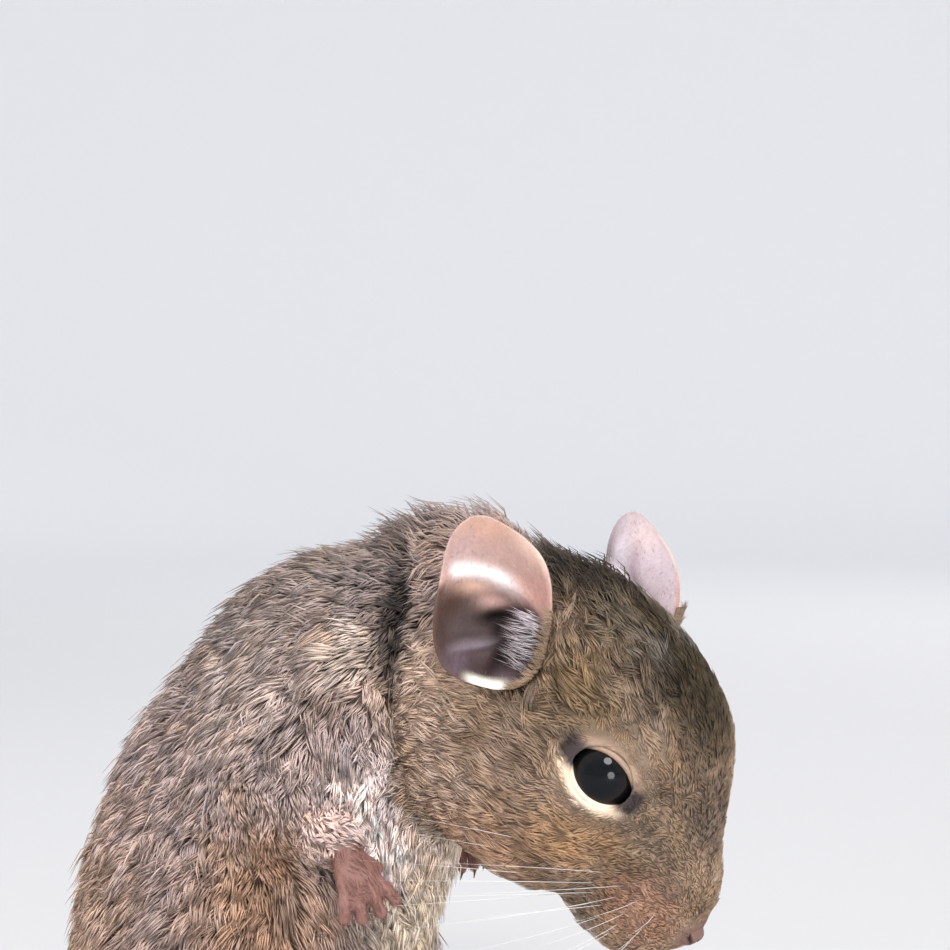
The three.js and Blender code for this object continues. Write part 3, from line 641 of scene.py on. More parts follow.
def smooth_path(points, count):
    """A round curve through the points, by halving its corners."""
    points = np.asarray(points, float)
    for _ in range(3):
        cut_in = 0.75 * points[:-1] + 0.25 * points[1:]
        cut_out = 0.25 * points[:-1] + 0.75 * points[1:]
        middle = np.stack([cut_in, cut_out], 1).reshape(-1, 3)
        points = np.vstack([points[:1], middle, points[-1:]])
    along = np.append(0, np.cumsum(np.linalg.norm(np.diff(points, axis=0), axis=1)))
    share = np.linspace(0, along[-1], count)
    return np.stack([np.interp(share, along, points[:, axis]) for axis in range(3)], 1)


nose, faces = ball(0, 1, 88, 112)
y, z = nose[:, 1] * NOSE_RADII[1], nose[:, 2] * NOSE_RADII[2]
flat = np.stack([np.abs(y), z, 0 * z], 1)
slit = np.min([from_line(flat, (*start, 0), (*end, 0))[0]
               for start, end in zip(NOSTRIL, NOSTRIL[1:])], axis=0)
forward = nose[:, 0] > 0
slit = np.where(forward, slit, FAR_OFF)
cleft = np.where(forward & (z < 0.3), np.abs(y), FAR_OFF)
swell = 0.16 * bump_at(np.hypot(np.abs(y) - 1.2, z - 0.1), 0.8) - 0.26 * bump_at(slit, 0.2)
swell -= 0.2 * bump_at(cleft, 0.14)
nose = nose * (1 + swell)[:, None] * NOSE_RADII + NOSE_AT
# Painted shade: the nostril slits, and more lightly the cleft, are darkened.
nose_shade = np.maximum(bump_at(slit, 0.24), 0.7 * bump_at(cleft, 0.14))
details.append(outward(from_head(nose), faces))
for rise, radius in LIPS:
    start = np.array(MOUTH_AT) + (0, 0, rise)
    half = [on_skin(start, way) for way in LIP_WAYS]
    other = [on_skin(start, (x, -y, z)) for x, y, z in LIP_WAYS[-2::-1]]
    path = smooth_path(half + other, LIP_STEPS)
    ends = np.sin(np.linspace(0.15, math.pi - 0.15, LIP_STEPS)) ** 0.5
    details.append(outward(*tube(path, radius * ends, 10)))
for aside in (-0.26, 0.26):
    path = [on_skin(np.array(MOUTH_AT) + (0, aside, 0), (8, 0, z)) for z in SPLIT_WAYS]
    radii = np.full(SPLIT_STEPS, SPLIT_RADIUS)
    details.append(outward(*tube(smooth_path(path, SPLIT_STEPS), radii, 10)))

# The skin itself is brown and finely creased where it is bare, on the lids, the nose, the lips and
# the paws, and takes the coat's own colours, darker, under it: partly the dark underfur, partly
# painted shade between the hairs. Lids, nose and lips are part of it, and it stands in for every
# solid of flesh.
FEET = ["forefoot_right", "forefoot_left", "hindfoot_right", "hindfoot_left"]


def store(mesh, name, values, kind="FLOAT"):
    """Keeps a number or a colour for each point of a mesh, for its material to read."""
    values = np.asarray(values, np.float32)
    if kind == "FLOAT_COLOR":
        values = np.hstack([values, np.ones((len(values), 1), np.float32)])
    attribute = mesh.attributes.new(name, kind, "POINT")
    attribute.data.foreach_set("color" if kind == "FLOAT_COLOR" else "value", values.ravel())


class Wire:
    """A socket of a material's nodes that takes sums, differences and products."""

    def __init__(self, sheet, socket):
        self.sheet, self.socket = sheet, socket

    def maths(self, operation, *values):
        return self.sheet.add("ShaderNodeMath", {"operation": operation}, dict(enumerate(values)))

    def __add__(self, other):
        return self.maths("ADD", self, other)

    def __sub__(self, other):
        return self.maths("SUBTRACT", self, other)

    def __rsub__(self, other):
        return self.maths("SUBTRACT", other, self)

    def __mul__(self, other):
        return self.maths("MULTIPLY", self, other)

    def between(self, low, high):
        """0 at the low value, 1 at the high one, softly in between."""
        return self.sheet.add("ShaderNodeMapRange", {"interpolation_type": "SMOOTHSTEP"},
                              {0: self, 1: low, 2: high})

    __radd__, __rmul__ = __add__, __mul__


class Sheet:
    """One material's nodes, with its Principled shader ready."""

    def __init__(self, name, **constants):
        self.material = bpy.data.materials.new(name)
        self.material.use_nodes = True
        self.tree = self.material.node_tree
        self.shader = self.tree.nodes["Principled BSDF"]
        for socket, value in constants.items():
            self.shader.inputs[socket.replace("_", " ")].default_value = value

    def add(self, kind, settings=None, sockets=None, out=0):
        """A node with its settings, then the values or links of its sockets."""
        node = self.tree.nodes.new(kind)
        for key, value in (settings or {}).items():
            setattr(node, key, value)
        for key, value in (sockets or {}).items():
            if isinstance(value, Wire):
                self.tree.links.new(value.socket, node.inputs[key])
            else:
                node.inputs[key].default_value = value
        return Wire(self, node.outputs[out])

    def stored(self, name, colour=False):
        return self.add("ShaderNodeAttribute", {"attribute_name": name}, out=0 if colour else 2)

    def noise(self, scale, detail=2.0, roughness=0.5, stretch=(1, 1, 1)):
        place = self.add("ShaderNodeTexCoord", out=3)
        place = self.add("ShaderNodeMapping", None, {0: place, 3: stretch})
        return self.add("ShaderNodeTexNoise", None,
                        {"Vector": place, "Scale": scale, "Detail": detail,
                         "Roughness": roughness})

    def blended(self, share, first, second):
        return self.add("ShaderNodeMix", {"data_type": "RGBA"},
                        {0: share, 6: first, 7: second}, out=2)

    def scaled(self, colour, by):
        grey = self.add("ShaderNodeCombineXYZ", None, {0: by, 1: by, 2: by})
        return self.add("ShaderNodeVectorMath", {"operation": "MULTIPLY"}, {0: colour, 1: grey})

    def bumped(self, height, distance, strength):
        return self.add("ShaderNodeBump", None,
                        {"Height": height, "Distance": distance, "Strength": strength})

    def feed(self, **wires):
        """Links wires to the shader's own sockets, and gives the finished material."""
        for socket, wire in wires.items():
            self.tree.links.new(wire.socket, self.shader.inputs[socket.replace("_", " ")])
        return self.material


bare = np.maximum(smoothstep(1.45, 1.2, slit_reach(skin_points)), 0.9 * foot_share(skin_points))
bare = np.maximum(bare, nearness(to_head(skin_points), (24, 0, -5), (4.4, 4, 4.2)))
all_points, all_triangles = joined([(skin_points, skin_triangles), *details])
lid_count = sum(len(points) for points, _ in details[:2 * len(LID_FOLDS)])
lids = all_points[len(skin_points):len(skin_points) + lid_count]
lip_count = len(all_points) - len(skin_points) - lid_count - len(nose)
bare = np.hstack([bare, np.ones(lid_count + len(nose) + lip_count)])
tints = np.vstack([
    markings(skin_points),
    markings(lids),
    # painted shade in the nostrils and the cleft
    laid(np.tile(NOSE_SKIN, (len(nose), 1)), NOSTRIL_SHADE, nose_shade),
    np.tile(LIP_SKIN, (lip_count, 1)),
])

skin_sheet = Sheet("degu skin", Subsurface_Weight=0.1, Subsurface_Scale=0.0012,
                   Subsurface_Radius=(1.0, 0.4, 0.25))
pores = skin_sheet.noise(1500, 4, 0.6)
blotches = skin_sheet.noise(350, 2)
shown = skin_sheet.stored("bare")
# Under the coat the skin is darkened, partly as the dark underfur and partly as painted shade
# between the hairs.
tone = (0.58 + shown * 0.39) * (0.8 + blotches * 0.4) * (0.86 + pores * 0.28)
skin_sheet.feed(
    Base_Color=skin_sheet.scaled(skin_sheet.stored("tint", True), tone),
    Roughness=0.72 - shown * 0.2 + pores * 0.1,
    Normal=skin_sheet.bumped(pores + blotches, 0.0002, 0.7),
)
skin = linked("skin", triangle_mesh("skin", all_points, all_triangles))
store(skin.data, "tint", tints, "FLOAT_COLOR")
store(skin.data, "bare", bare)
skin.data.materials.append(skin_sheet.material)
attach(skin, "root")
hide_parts(*FLESH, *FEET, "tail_end")

# The eyes are large, dark and wet, each a ball that fills its lids, with a deep brown iris that
# shows only as a faint ring round the pupil. The front bulges a little, as a cornea does.
PUPIL_COLOUR, IRIS_COLOUR = (0.0022, 0.003, 0.0045, 1), (0.009, 0.006, 0.005, 1)
eye_sheet = Sheet("wet eye", Roughness=0.04, Specular_IOR_Level=0.0, Coat_Weight=1.0,
                  Coat_Roughness=0.015, Coat_IOR=1.3)
threads = eye_sheet.noise(900, 3)
eye_sheet.feed(Base_Color=eye_sheet.blended(
    eye_sheet.stored("iris") * (threads * 0.7 + 0.3), PUPIL_COLOUR, IRIS_COLOUR))
for side, name in ((-1, "eye_right"), (1, "eye_left")):
    globe, faces = ball(0, 1, 40, 64)
    globe = globe[:, (0, 2, 1)] * (1, 1, -1)
    edge = np.arccos(np.clip(globe[:, 1], -1, 1))
    bulge = 1 + 0.035 * smoothstep(0.62, 1.0, globe[:, 1:2])
    placed = (globe * EYE_RADIUS * bulge @ EYE_BASIS.T + LEFT_EYE) * (1, side, 1)
    placed, faces = outward(from_head(placed), faces)
    made = linked(name + "_wet", triangle_mesh(name + "_wet", placed, faces))
    store(made.data, "iris", smoothstep(0.42, 0.5, edge) * smoothstep(0.86, 0.66, edge))
    made.data.materials.append(eye_sheet.material)
    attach(made, "root")
    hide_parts(name)

# The ears are thin leaves of skin, cupped at the root, with rolled lower edges, a bend under the
# tip, a fold across the bowl and two hollows by it. A highlight is painted along the bend, and
# shade is painted in the bowl below it and in the hollows. Light shines through them.
# An ear's own frame is x to its front edge, y up its length and z out of the bowl.
EAR_LENGTH, EAR_THICKNESS, EAR_MIDDLE = 19.6, 0.5, (0.5, 10.0)
EAR_AT = {"right": (-7.3, -11.3, 5.0), "left": (-5.8, 11.3, 5.0)}
EAR_OUTLINE = np.array([
    (0.6, 19.9), (2.7, 18.5), (5.0, 16.6), (6.4, 14.8), (6.9, 12.8), (6.8, 10.4), (6.3, 7.8),
    (5.6, 5.5), (4.9, 3.3), (3.4, 1.3), (0.6, 0.3), (-2.4, 1.5), (-4.5, 2.9), (-5.5, 4.4),
    (-5.9, 6.3), (-5.9, 8.1), (-5.5, 10.5), (-4.8, 12.9), (-4.3, 14.6), (-3.8, 16.4),
    (-2.9, 18.2), (-1.3, 19.6),
])
SPOKES, RINGS = 128, 46
EAR_UP = unit(np.array([-0.55, 0.284, 0.785]))
EAR_FACING = {"right": (0.56, 0.8, 0.1), "left": (0.36, 0.93, -0.09)}


def ear_basis(name):
    """Columns: to the ear's front, up its length and out of its bowl, for the left side."""
    front = unit(np.cross(EAR_FACING[name], EAR_UP))
    return np.stack([front, EAR_UP, np.cross(EAR_UP, front)], 1)


def from_ear(points, name):
    side = (1, -1 if name == "right" else 1, 1)
    return from_head((points @ ear_basis(name).T) * side + EAR_AT[name])


def to_ear(points, name):
    side = (1, -1 if name == "right" else 1, 1)
    return ((to_head(points) - EAR_AT[name]) * side) @ ear_basis(name)


def ear_radius(turn):
    """How far the outline lies from the ear's middle, each way round."""
    spokes = EAR_OUTLINE - EAR_MIDDLE
    angles = np.arctan2(spokes[:, 1], spokes[:, 0])
    order = np.argsort(angles)
    radii = np.hypot(spokes[:, 0], spokes[:, 1])[order]
    return sum(np.interp(turn + offset, angles[order], radii, period=2 * math.pi)
               for offset in (-0.1, -0.04, 0.04, 0.1)) / 4


def bend_line(x):
    """How far up the ear its bend runs, where a highlight is painted."""
    return 12.9 - 0.5 * x - 0.05 * x * x


def fold_line(x):
    """How far up the ear the fold across its bowl runs."""
    return 5.05 + 0.055 * (x + 1.5) ** 2


def ear_face(reach, turn):
    """The inner face: a shallow bowl with a rolled rim, a bend, a fold and two hollows."""
    x = EAR_MIDDLE[0] + reach * ear_radius(turn) * np.cos(turn)
    y = EAR_MIDDLE[1] + reach * ear_radius(turn) * np.sin(turn)
    low = 1 - y / EAR_LENGTH
    z = -3.6 * (1 - reach ** 2) * (0.3 + 1.15 * low) - 2.2 * (1 - low) ** 2
    z += 3.2 * reach ** 4 * low * np.cos(turn) ** 2
    z += 0.25 * bump_at(reach - 0.94, 0.05) * smoothstep(1.0, 0.35, np.sin(turn))
    z += 0.5 * bump_at(y - bend_line(x), 1.1) * smoothstep(1.0, 0.7, reach)
    z += 1.1 * bump_at(y - fold_line(x), 0.75) * smoothstep(1.9, 0.5, x) * (1 - reach ** 4)
    z -= 1.3 * bump_at(np.hypot((x - 0.9) / 1.9, (y - 7.0) / 1.1), 1.0)
    z -= 1.4 * bump_at(np.hypot((x - 0.4) / 1.0, (y - 2.5) / 1.0), 1.0)
    return np.stack([x, y, z], -1)


def leaf(inner, outer, middle_in, middle_out):
    """A closed round sheet from the rings of its two faces, and a point amid each face."""
    rings, spokes = inner.shape[:2]
    index = np.arange(rings * spokes).reshape(rings, spokes)
    far = np.roll(index, -1, 1)
    a, b, c, d = index[:-1], far[:-1], index[1:], far[1:]
    sheet = np.vstack([np.stack([a, c, d], -1).reshape(-1, 3),
                       np.stack([a, d, b], -1).reshape(-1, 3)])
    count = rings * spokes
    fan = np.stack([np.full(spokes, 2 * count), index[0], far[0]], 1)
    back_fan = np.stack([np.full(spokes, 2 * count + 1), far[0] + count, index[0] + count], 1)
    a, b = index[-1], far[-1]
    edge = np.vstack([np.stack([a, a + count, b + count], 1), np.stack([a, b + count, b], 1)])
    faces = np.vstack([sheet, sheet[:, ::-1] + count, fan, back_fan, edge])
    points = np.vstack([inner.reshape(-1, 3), outer.reshape(-1, 3), [middle_in], [middle_out]])
    return points, faces


def ear_shape():
    """Both faces of one ear, thinnest at the rim."""
    reach, turn = np.meshgrid((np.arange(1, RINGS + 1) / RINGS) ** 0.8,
                              2 * np.pi * np.arange(SPOKES) / SPOKES, indexing="ij")
    inner = ear_face(reach, turn)
    onward = ear_face(reach + 0.01, turn) - inner
    around = ear_face(reach, turn + 0.01) - inner
    out = unit(np.cross(onward, around))
    outer = inner - out * (EAR_THICKNESS * (0.45 + 0.55 * (1 - reach ** 3)))[..., None]
    middle = ear_face(np.zeros(1), np.full(1, 0.5))[0]
    return leaf(inner, outer, middle, middle - (0, 0, EAR_THICKNESS))


ear_sheet = Sheet("ear skin", Roughness=0.7, Subsurface_Weight=0.25, Subsurface_Scale=0.0015,
                  Subsurface_Radius=(1.0, 0.55, 0.45), Specular_IOR_Level=0.25)
veins = ear_sheet.noise(420, 4, 0.6, (1, 1, 0.35))
grain = ear_sheet.noise(2600, 3)
ear_sheet.feed(
    Base_Color=ear_sheet.scaled(ear_sheet.stored("tint", True),
                                (0.72 + veins * 0.56) * (0.82 + grain * 0.36)),
    Normal=ear_sheet.bumped(veins * 0.6 + grain * 0.4, 0.00025, 0.6),
)
# The bowl's colour is darker as painted shade, where the bowl curves away from the light.
EAR_TIP, EAR_BOWL_SHADE, EAR_BACK = paint(182, 153, 144), paint(82, 68, 64), paint(176, 163, 169)
EAR_MARKS = [  # middle, radii, lean in degrees, colour, how strongly it covers
    ((1.0, 18.4), (4.6, 1.6), 0, paint(186, 150, 132), 0.9),
    ((-2.3, 16.2), (2.2, 2.4), 0, paint(180, 154, 152), 0.8),
    ((5.9, 15.2), (1.1, 3.2), 35, paint(230, 198, 182), 0.8),
    ((5.6, 10.6), (2.0, 2.4), 0, paint(186, 143, 134), 0.9),
    ((-1.6, 11.6), (2.4, 1.0), -12, paint(216, 176, 156), 0.9),
    ((0.4, 9.1), (1.9, 1.1), -20, paint(204, 166, 158), 0.9),
    ((-3.9, 10.2), (1.3, 1.8), 0, paint(78, 58, 48), 0.9),
    ((-3.0, 7.6), (2.0, 1.6), 0, paint(92, 80, 79), 0.8),
    ((3.4, 7.9), (2.0, 0.9), 8, paint(76, 52, 47), 0.9),
    # Painted shade: the near-black marks in and below the upper hollow.
    ((0.5, 7.1), (2.4, 0.95), -8, paint(17, 10, 9), 1.0),
    ((0.5, 5.8), (1.0, 1.7), 0, paint(24, 15, 15), 1.0),
    ((-2.4, 6.0), (2.4, 0.4), -12, paint(54, 43, 46), 0.9),
    ((-2.5, 5.1), (2.9, 0.65), -8, paint(120, 108, 117), 1.0),
    ((-3.9, 3.8), (1.7, 1.0), -20, paint(100, 86, 95), 0.9),
    ((-1.9, 2.9), (1.5, 0.9), -20, paint(66, 50, 53), 0.9),
    # Painted shade: the near-black marks in the lower hollow.
    ((-0.8, 2.2), (0.9, 0.7), 0, paint(46, 33, 35), 0.9),
    ((0.35, 2.6), (0.75, 1.2), 0, paint(22, 14, 15), 1.0),
    ((1.4, 1.2), (1.5, 0.8), 0, paint(112, 96, 102), 0.9),
    ((3.3, 5.2), (1.8, 2.4), 0, paint(80, 67, 67), 0.8),
    ((2.7, 4.4), (1.7, 0.3), -16, paint(28, 19, 20), 1.0),
]
EAR_BACK_MARKS = [
    ((-3.2, 13.6), (1.5, 3.6), 0, paint(138, 119, 130), 0.8),
    # A painted highlight: the pale streak up the middle of the back.
    ((0.2, 12.6), (1.3, 4.6), 8, paint(214, 206, 214), 0.85),
    ((2.4, 16.8), (2.6, 1.5), -30, paint(204, 184, 182), 0.8),
    ((3.0, 12.0), (0.6, 3.2), 12, paint(142, 122, 131), 0.7),
    ((0.4, 3.5), (5.5, 3.5), 0, paint(132, 112, 106), 0.8),
]
# The bend's near-white colour is a painted highlight.
EAR_BEND_HIGHLIGHT, EAR_CREAM = paint(255, 246, 246), paint(255, 248, 232)
EAR_RIM = paint(84, 68, 62)


def ear_marked(colours, points, marks):
    """Colours with the ear's soft marks laid over them."""
    for middle, radii, lean, colour, share in marks:
        lean = math.radians(lean)
        away = points[:, :2] - middle
        along = away @ (math.cos(lean), math.sin(lean)) / radii[0]
        across = away @ (-math.sin(lean), math.cos(lean)) / radii[1]
        colours = laid(colours, colour, share * bump_at(np.hypot(along, across), 1.05))
    return colours


def ear_tints(points, back=0.0):
    """Colours by place in the ear's frame: tan at the tip, a painted highlight on the bend,
    painted shade in the bowl and its hollows below.
    """
    x, y = points[:, 0], points[:, 1]
    spoke = points[:, :2] - EAR_MIDDLE
    turn = np.arctan2(spoke[:, 1], spoke[:, 0])
    reach = np.hypot(spoke[:, 0], spoke[:, 1]) / ear_radius(turn)
    under = bend_line(x) - y
    # Painted shade: below the bend the bowl darkens.
    colours = laid(np.tile(EAR_TIP, (len(points), 1)), EAR_BOWL_SHADE, smoothstep(0.5, 2.4, under))
    colours = ear_marked(colours, points, EAR_MARKS)
    # Painted highlight along the bend.
    shining = smoothstep(-4.2, -2.8, x) * smoothstep(4.6, 0.8, x)
    colours = laid(colours, EAR_BEND_HIGHLIGHT, shining * bump_at(under, 0.92 + 0.06 * (x + 2)))
    rear = smoothstep(-1, -3, x) * smoothstep(0.5, 1.8, under) * smoothstep(4.6, 6.2, y)
    colours = laid(colours, EAR_RIM, 0.9 * rear * smoothstep(0.86, 0.95, reach))
    low_edge = smoothstep(-4.2, -2.2, x) * smoothstep(1.8, 0.0, x) * smoothstep(3.4, 2.4, y)
    colours = laid(colours, EAR_CREAM, low_edge * smoothstep(0.89, 0.96, reach))
    behind = ear_marked(np.tile(EAR_BACK, (len(points), 1)), points, EAR_BACK_MARKS)
    return laid(colours, behind, back * smoothstep(1.01, 0.97, reach))


ears = {}
leaf_points, leaf_faces = ear_shape()
back = np.repeat((0, 1, 0, 1), (RINGS * SPOKES, RINGS * SPOKES, 1, 1))
for name in ("right", "left"):
    placed, faces = outward(from_ear(leaf_points, name), leaf_faces)
    made = linked("ear_" + name + "_skin", triangle_mesh("ear_" + name + "_skin", placed, faces))
    store(made.data, "tint", ear_tints(leaf_points, back), "FLOAT_COLOR")
    made.data.materials.append(ear_sheet.material)
    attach(made, "root")
    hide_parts("ear_" + name)
    ears[name] = (placed, faces)

# The claws are horn, long, bent and amber-brown on the hind toes and small on the fingers. Each
# is a tapered tube that springs from the end of its finger or toe and drops to its point.
CLAW_DARK, CLAW_PALE = (0.07, 0.04, 0.026, 1), (0.24, 0.14, 0.085, 1)
claw_sheet = Sheet("claw horn", Roughness=0.32, Coat_Weight=0.3, Coat_Roughness=0.2)
lines = claw_sheet.noise(900, 3, 0.6, (1, 1, 3))
claw_sheet.feed(
    Base_Color=claw_sheet.blended(lines, CLAW_DARK, CLAW_PALE),
    Normal=claw_sheet.bumped(lines, 0.0001, 0.5),
)
HINDFOOT_SCALE = 27 / 26
FINGER_CLAW = (1.75, 0.34, 0.2)  # length, radius and drop
TOE_CLAW_RADIUS, TOE_CLAW_DROP = 0.56, 0.34
TOES = [  # aside, along, length
    (-2.9, 12.6, 4.4), (-1.9, 15.2, 7.4), (0.1, 15.6, 8.4), (2.1, 15.2, 7.8), (3.2, 12.8, 6.0),
]


def claw(start, way, length, radius, drop):
    """A bent horn that drops by a share of its length."""
    share = np.linspace(0, 1, 9)[:, None]
    path = np.asarray(start) + np.asarray(way) * length * share
    path[:, 2] -= drop * length * share[:, 0] ** 2
    wide, high = radius * (0.8 - 0.66 * share[:, 0]), radius * (1.05 - 0.9 * share[:, 0])
    return tube(path, np.stack([wide, high], 1), 10)


claws = {"forefoot": [], "hindfoot": []}
for name, side in (("right", -1), ("left", 1)):
    basis = paw_basis(side) * FOREPAW_SCALE
    for n, length in enumerate(FINGERS):
        start, end = finger_path(length, -(n - 1.5) * side, np.array([0.84, 0.98]))
        way = unit(end - start)
        points, faces = claw(start + (0, 0, 0.28), way, *FINGER_CLAW)
        claws["forefoot"].append((points @ basis.T + WRIST_AT[name] + SHIFT, faces))
    turn = np.array(Matrix.Rotation(HINDFOOT_TURN * side, 3, "Z")) * HINDFOOT_SCALE
    for y, x, length in TOES:
        start = (x + 0.8 * (length - 1.6), side * y * (1 + 0.05 * length), 1.25)
        way = (1, side * 0.06 * y, -0.05)
        claw_length = 0.25 * length + 1.9
        points, faces = claw(start, way, claw_length, TOE_CLAW_RADIUS, TOE_CLAW_DROP)
        placed = points @ turn.T + np.array(HEEL_AT) * (1, side, 1) + SHIFT
        placed[:, 2] = np.maximum(placed[:, 2], 0.03)
        claws["hindfoot"].append((placed, faces))
for foot, shapes in claws.items():
    shapes = [outward(*shape) for shape in shapes]
    made = linked(foot + "_claws", triangle_mesh(foot + "_claws", *joined(shapes)))
    made.data.materials.append(claw_sheet.material)
    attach(made, "root")

# The coat is short and dense. Each hair is a thin closed blade of three sides, darker at its
# root, then paler, with a dark tip. The hairs lie over the skin in fine locks, and their way
# comes from guides, each a place and the way the coat lies there, the same on both sides.
HEAD_LIE = [
    ((23, 0, 0), (-1, 0, 0.25)), ((8, 0, 17), (-1, 0, 0.1)), ((-8, 0, 20), (-1, 0, -0.1)),
    ((-18, 0, 14), (-0.95, 0, -0.3)), ((16, 6, -5), (-1, 0.25, -0.1)),
    ((6, 11, -4), (-0.95, 0.15, -0.3)), ((8, 10, 0), (-0.95, 0.1, -0.35)),
    ((0, 13, -10), (-0.85, 0, -0.5)), ((12, 0, -13), (-0.9, 0, -0.4)),
    ((-4, 0, -16), (-0.7, 0, -0.7)), ((0, 12, 6), (-0.95, 0.1, 0.1)),
    ((8, 9, 12), (-0.95, 0.1, 0.3)), ((-4, 11, 12), (-0.8, 0.2, 0.5)),
    ((-10, 13, 0), (-0.9, 0.1, -0.4)),
]
BODY_LIE = [
    ((12, 0, 74), (-0.95, 0, 0.05)), ((14, 12, 62), (-0.85, 0, -0.5)),
    ((-5, 0, 71), (-0.95, 0, -0.35)), ((-10, 14, 60), (-0.85, 0.1, -0.5)),
    ((-24, 0, 50), (-0.45, 0, -0.9)), ((-18, 16, 44), (-0.65, 0.1, -0.75)),
    ((-29, 0, 26), (-0.15, 0, -1)), ((-26, 0, 9), (-0.7, 0, -0.5)),
    ((-4, 20, 36), (-0.5, 0, -0.85)), ((13, 14, 45), (-0.3, 0, -0.95)),
    ((20, 0, 38), (-0.1, 0, -1)), ((17, 0, 20), (0, 0, -1)),
    ((4, 19, 50), (-0.4, 0.1, -0.9)), ((2, 22, 43), (0.1, 0, -1)),
    ((8, 18, 39), (0.8, 0, -0.6)), ((-12, 24, 20), (-0.35, 0.1, -0.95)),
    ((6, 22, 16), (0.15, 0, -1)), ((5, 18, 5), (0.7, 0, -0.5)),
    ((-16, 14, 4), (-0.6, 0, -0.4)),
]
LOCK_HAIRS, LOCK_REACH, LOCK_PULL, LOCK_TURN, HAIR_TURN = 13, 1.8, 0.58, 0.36, 0.14
HAIR_ROWS, ROOT_DEPTH, PATCH_SIZE = (0.0, 0.5), 0.12, 0.0028
HIGHEST_HAIR, LOWEST_HAIR = 77.5, 0.05
draw = np.random.default_rng(7)


def lie(points, normals):
    """The way the coat lies at each point: guides weighted by nearness, flat on the skin."""
    on_head = headness(points)[:, None]
    sides = np.where(points[:, 1] - SHIFT[1] < 0, -1.0, 1.0)
    head_sides = np.where(to_head(points)[:, 1] < 0, -1.0, 1.0)
    total = np.zeros_like(points)
    for guides, place, side, share in (
        (BODY_LIE, folded(points - SHIFT), sides, 1 - on_head),
        (HEAD_LIE, folded(to_head(points)), head_sides, on_head),
    ):
        ways = np.zeros_like(points)
        for at, way in guides:
            reach = ((place - at) ** 2).sum(1)
            ways += np.asarray(way)[None, :] / (reach[:, None] + 14) ** 2.5
        ways = unit(ways)
        ways[:, 1] *= side
        total += share * (ways if guides is BODY_LIE else ways @ HEAD_TURN.T)
    total -= normals * (total * normals).sum(1, keepdims=True)
    return unit(total)


def areas_of(corners):
    edges = corners[:, 1] - corners[:, 0], corners[:, 2] - corners[:, 0]
    return np.linalg.norm(np.cross(*edges), axis=1) / 2


def strewn(wanted, *kind):
    """Roots spread evenly over the skin, so many to a square millimetre as is wanted there."""
    corners = skin_points[skin_triangles]
    total = np.cumsum(areas_of(corners) * wanted(corners.mean(1), *kind))
    count = int(total[-1])
    picked = np.searchsorted(total, np.arange(count) + draw.random(count))
    picked = np.minimum(picked, len(skin_triangles) - 1)
    share = draw.random((count, 2))
    share = np.where(share.sum(1, keepdims=True) > 1, 1 - share, share)
    weights = np.stack([1 - share.sum(1), share[:, 0], share[:, 1]], 1)[..., None]
    roots = (corners[picked] * weights).sum(1)
    return roots, unit((skin_normals[skin_triangles[picked]] * weights).sum(1))


def over_skin(points, heights):
    """Points set back to given heights over the nearest place of the skin."""
    placed = np.empty_like(points)
    for n, (point, height) in enumerate(zip(points, heights)):
        at, normal, _, _ = skin_finder.find_nearest(point)
        placed[n] = at + normal * height
    return placed


def blades(root, bend, tip, normals, widths):
    """Closed three-sided blades on curves from root to tip, with a ring at each hair row.

    Gives their points and faces, how far along its blade each point is, and how many points a
    blade has.
    """
    count, shares = len(root), np.array(HAIR_ROWS)
    steps = shares[None, :, None]
    middle = ((1 - steps) ** 2 * root[:, None] + 2 * steps * (1 - steps) * bend[:, None]
              + steps ** 2 * tip[:, None])
    side = unit(np.cross(normals, tip - root))
    over = unit(np.cross(tip - root, side))
    profile = np.interp(shares, (0, 0.4, 0.75, 1), (0.7, 1.0, 0.72, 0.2))
    wide = widths[:, None, None] * profile[None, :, None] / 2
    corners = np.stack([middle - side[:, None] * wide, middle + side[:, None] * wide,
                        middle + over[:, None] * wide * 1.1], 2)
    each = 3 * len(shares) + 1
    points = np.concatenate([corners.reshape(count, -1, 3), tip[:, None]], 1)
    pattern = [(0, 2, 1)]
    for row in range(len(shares) - 1):
        for a, b in ((0, 1), (1, 2), (2, 0)):
            a, b = 3 * row + a, 3 * row + b
            pattern += [(a, b, b + 3), (a, b + 3, a + 3)]
    top = 3 * (len(shares) - 1)
    pattern += [(top, top + 1, each - 1), (top + 1, top + 2, each - 1), (top + 2, top, each - 1)]
    faces = np.array(pattern)[None] + each * np.arange(count)[:, None, None]
    along = np.append(np.repeat(shares, 3), 1.0)
    points[..., 2] = np.clip(points[..., 2], LOWEST_HAIR, HIGHEST_HAIR)
    return points.reshape(-1, 3), faces.reshape(-1, 3), np.tile(along, count), each


def hair_piece(name, hairs, tints, tones, places):
    """A piece of coat from blades, coloured from each hair's own tint and tone.

    In its bake map each hair is a small patch of its own, at its root's place.
    """
    points, faces, along, each = hairs
    count = len(points) // each
    mesh = triangle_mesh(name, points, faces)
    store(mesh, "along", along)
    store(mesh, "tone", np.repeat(tones, each))
    store(mesh, "tint", np.repeat(tints, each, 0), "FLOAT_COLOR")
    corner = np.tile(np.append(np.tile((0.0, 1.0, 0.5), each // 3), 0.5), count)
    patch = np.stack([corner, along], 1) - 0.5
    spots = np.repeat(places, each, 0) + PATCH_SIZE * patch
    uv = mesh.uv_layers.new(name="OFBake")
    uv.data.foreach_set("uv", spots[faces.ravel()].astype(np.float32).ravel())
    mesh.materials.append(coat_sheet.material)
    made = linked(name, mesh)
    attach(made, "root")


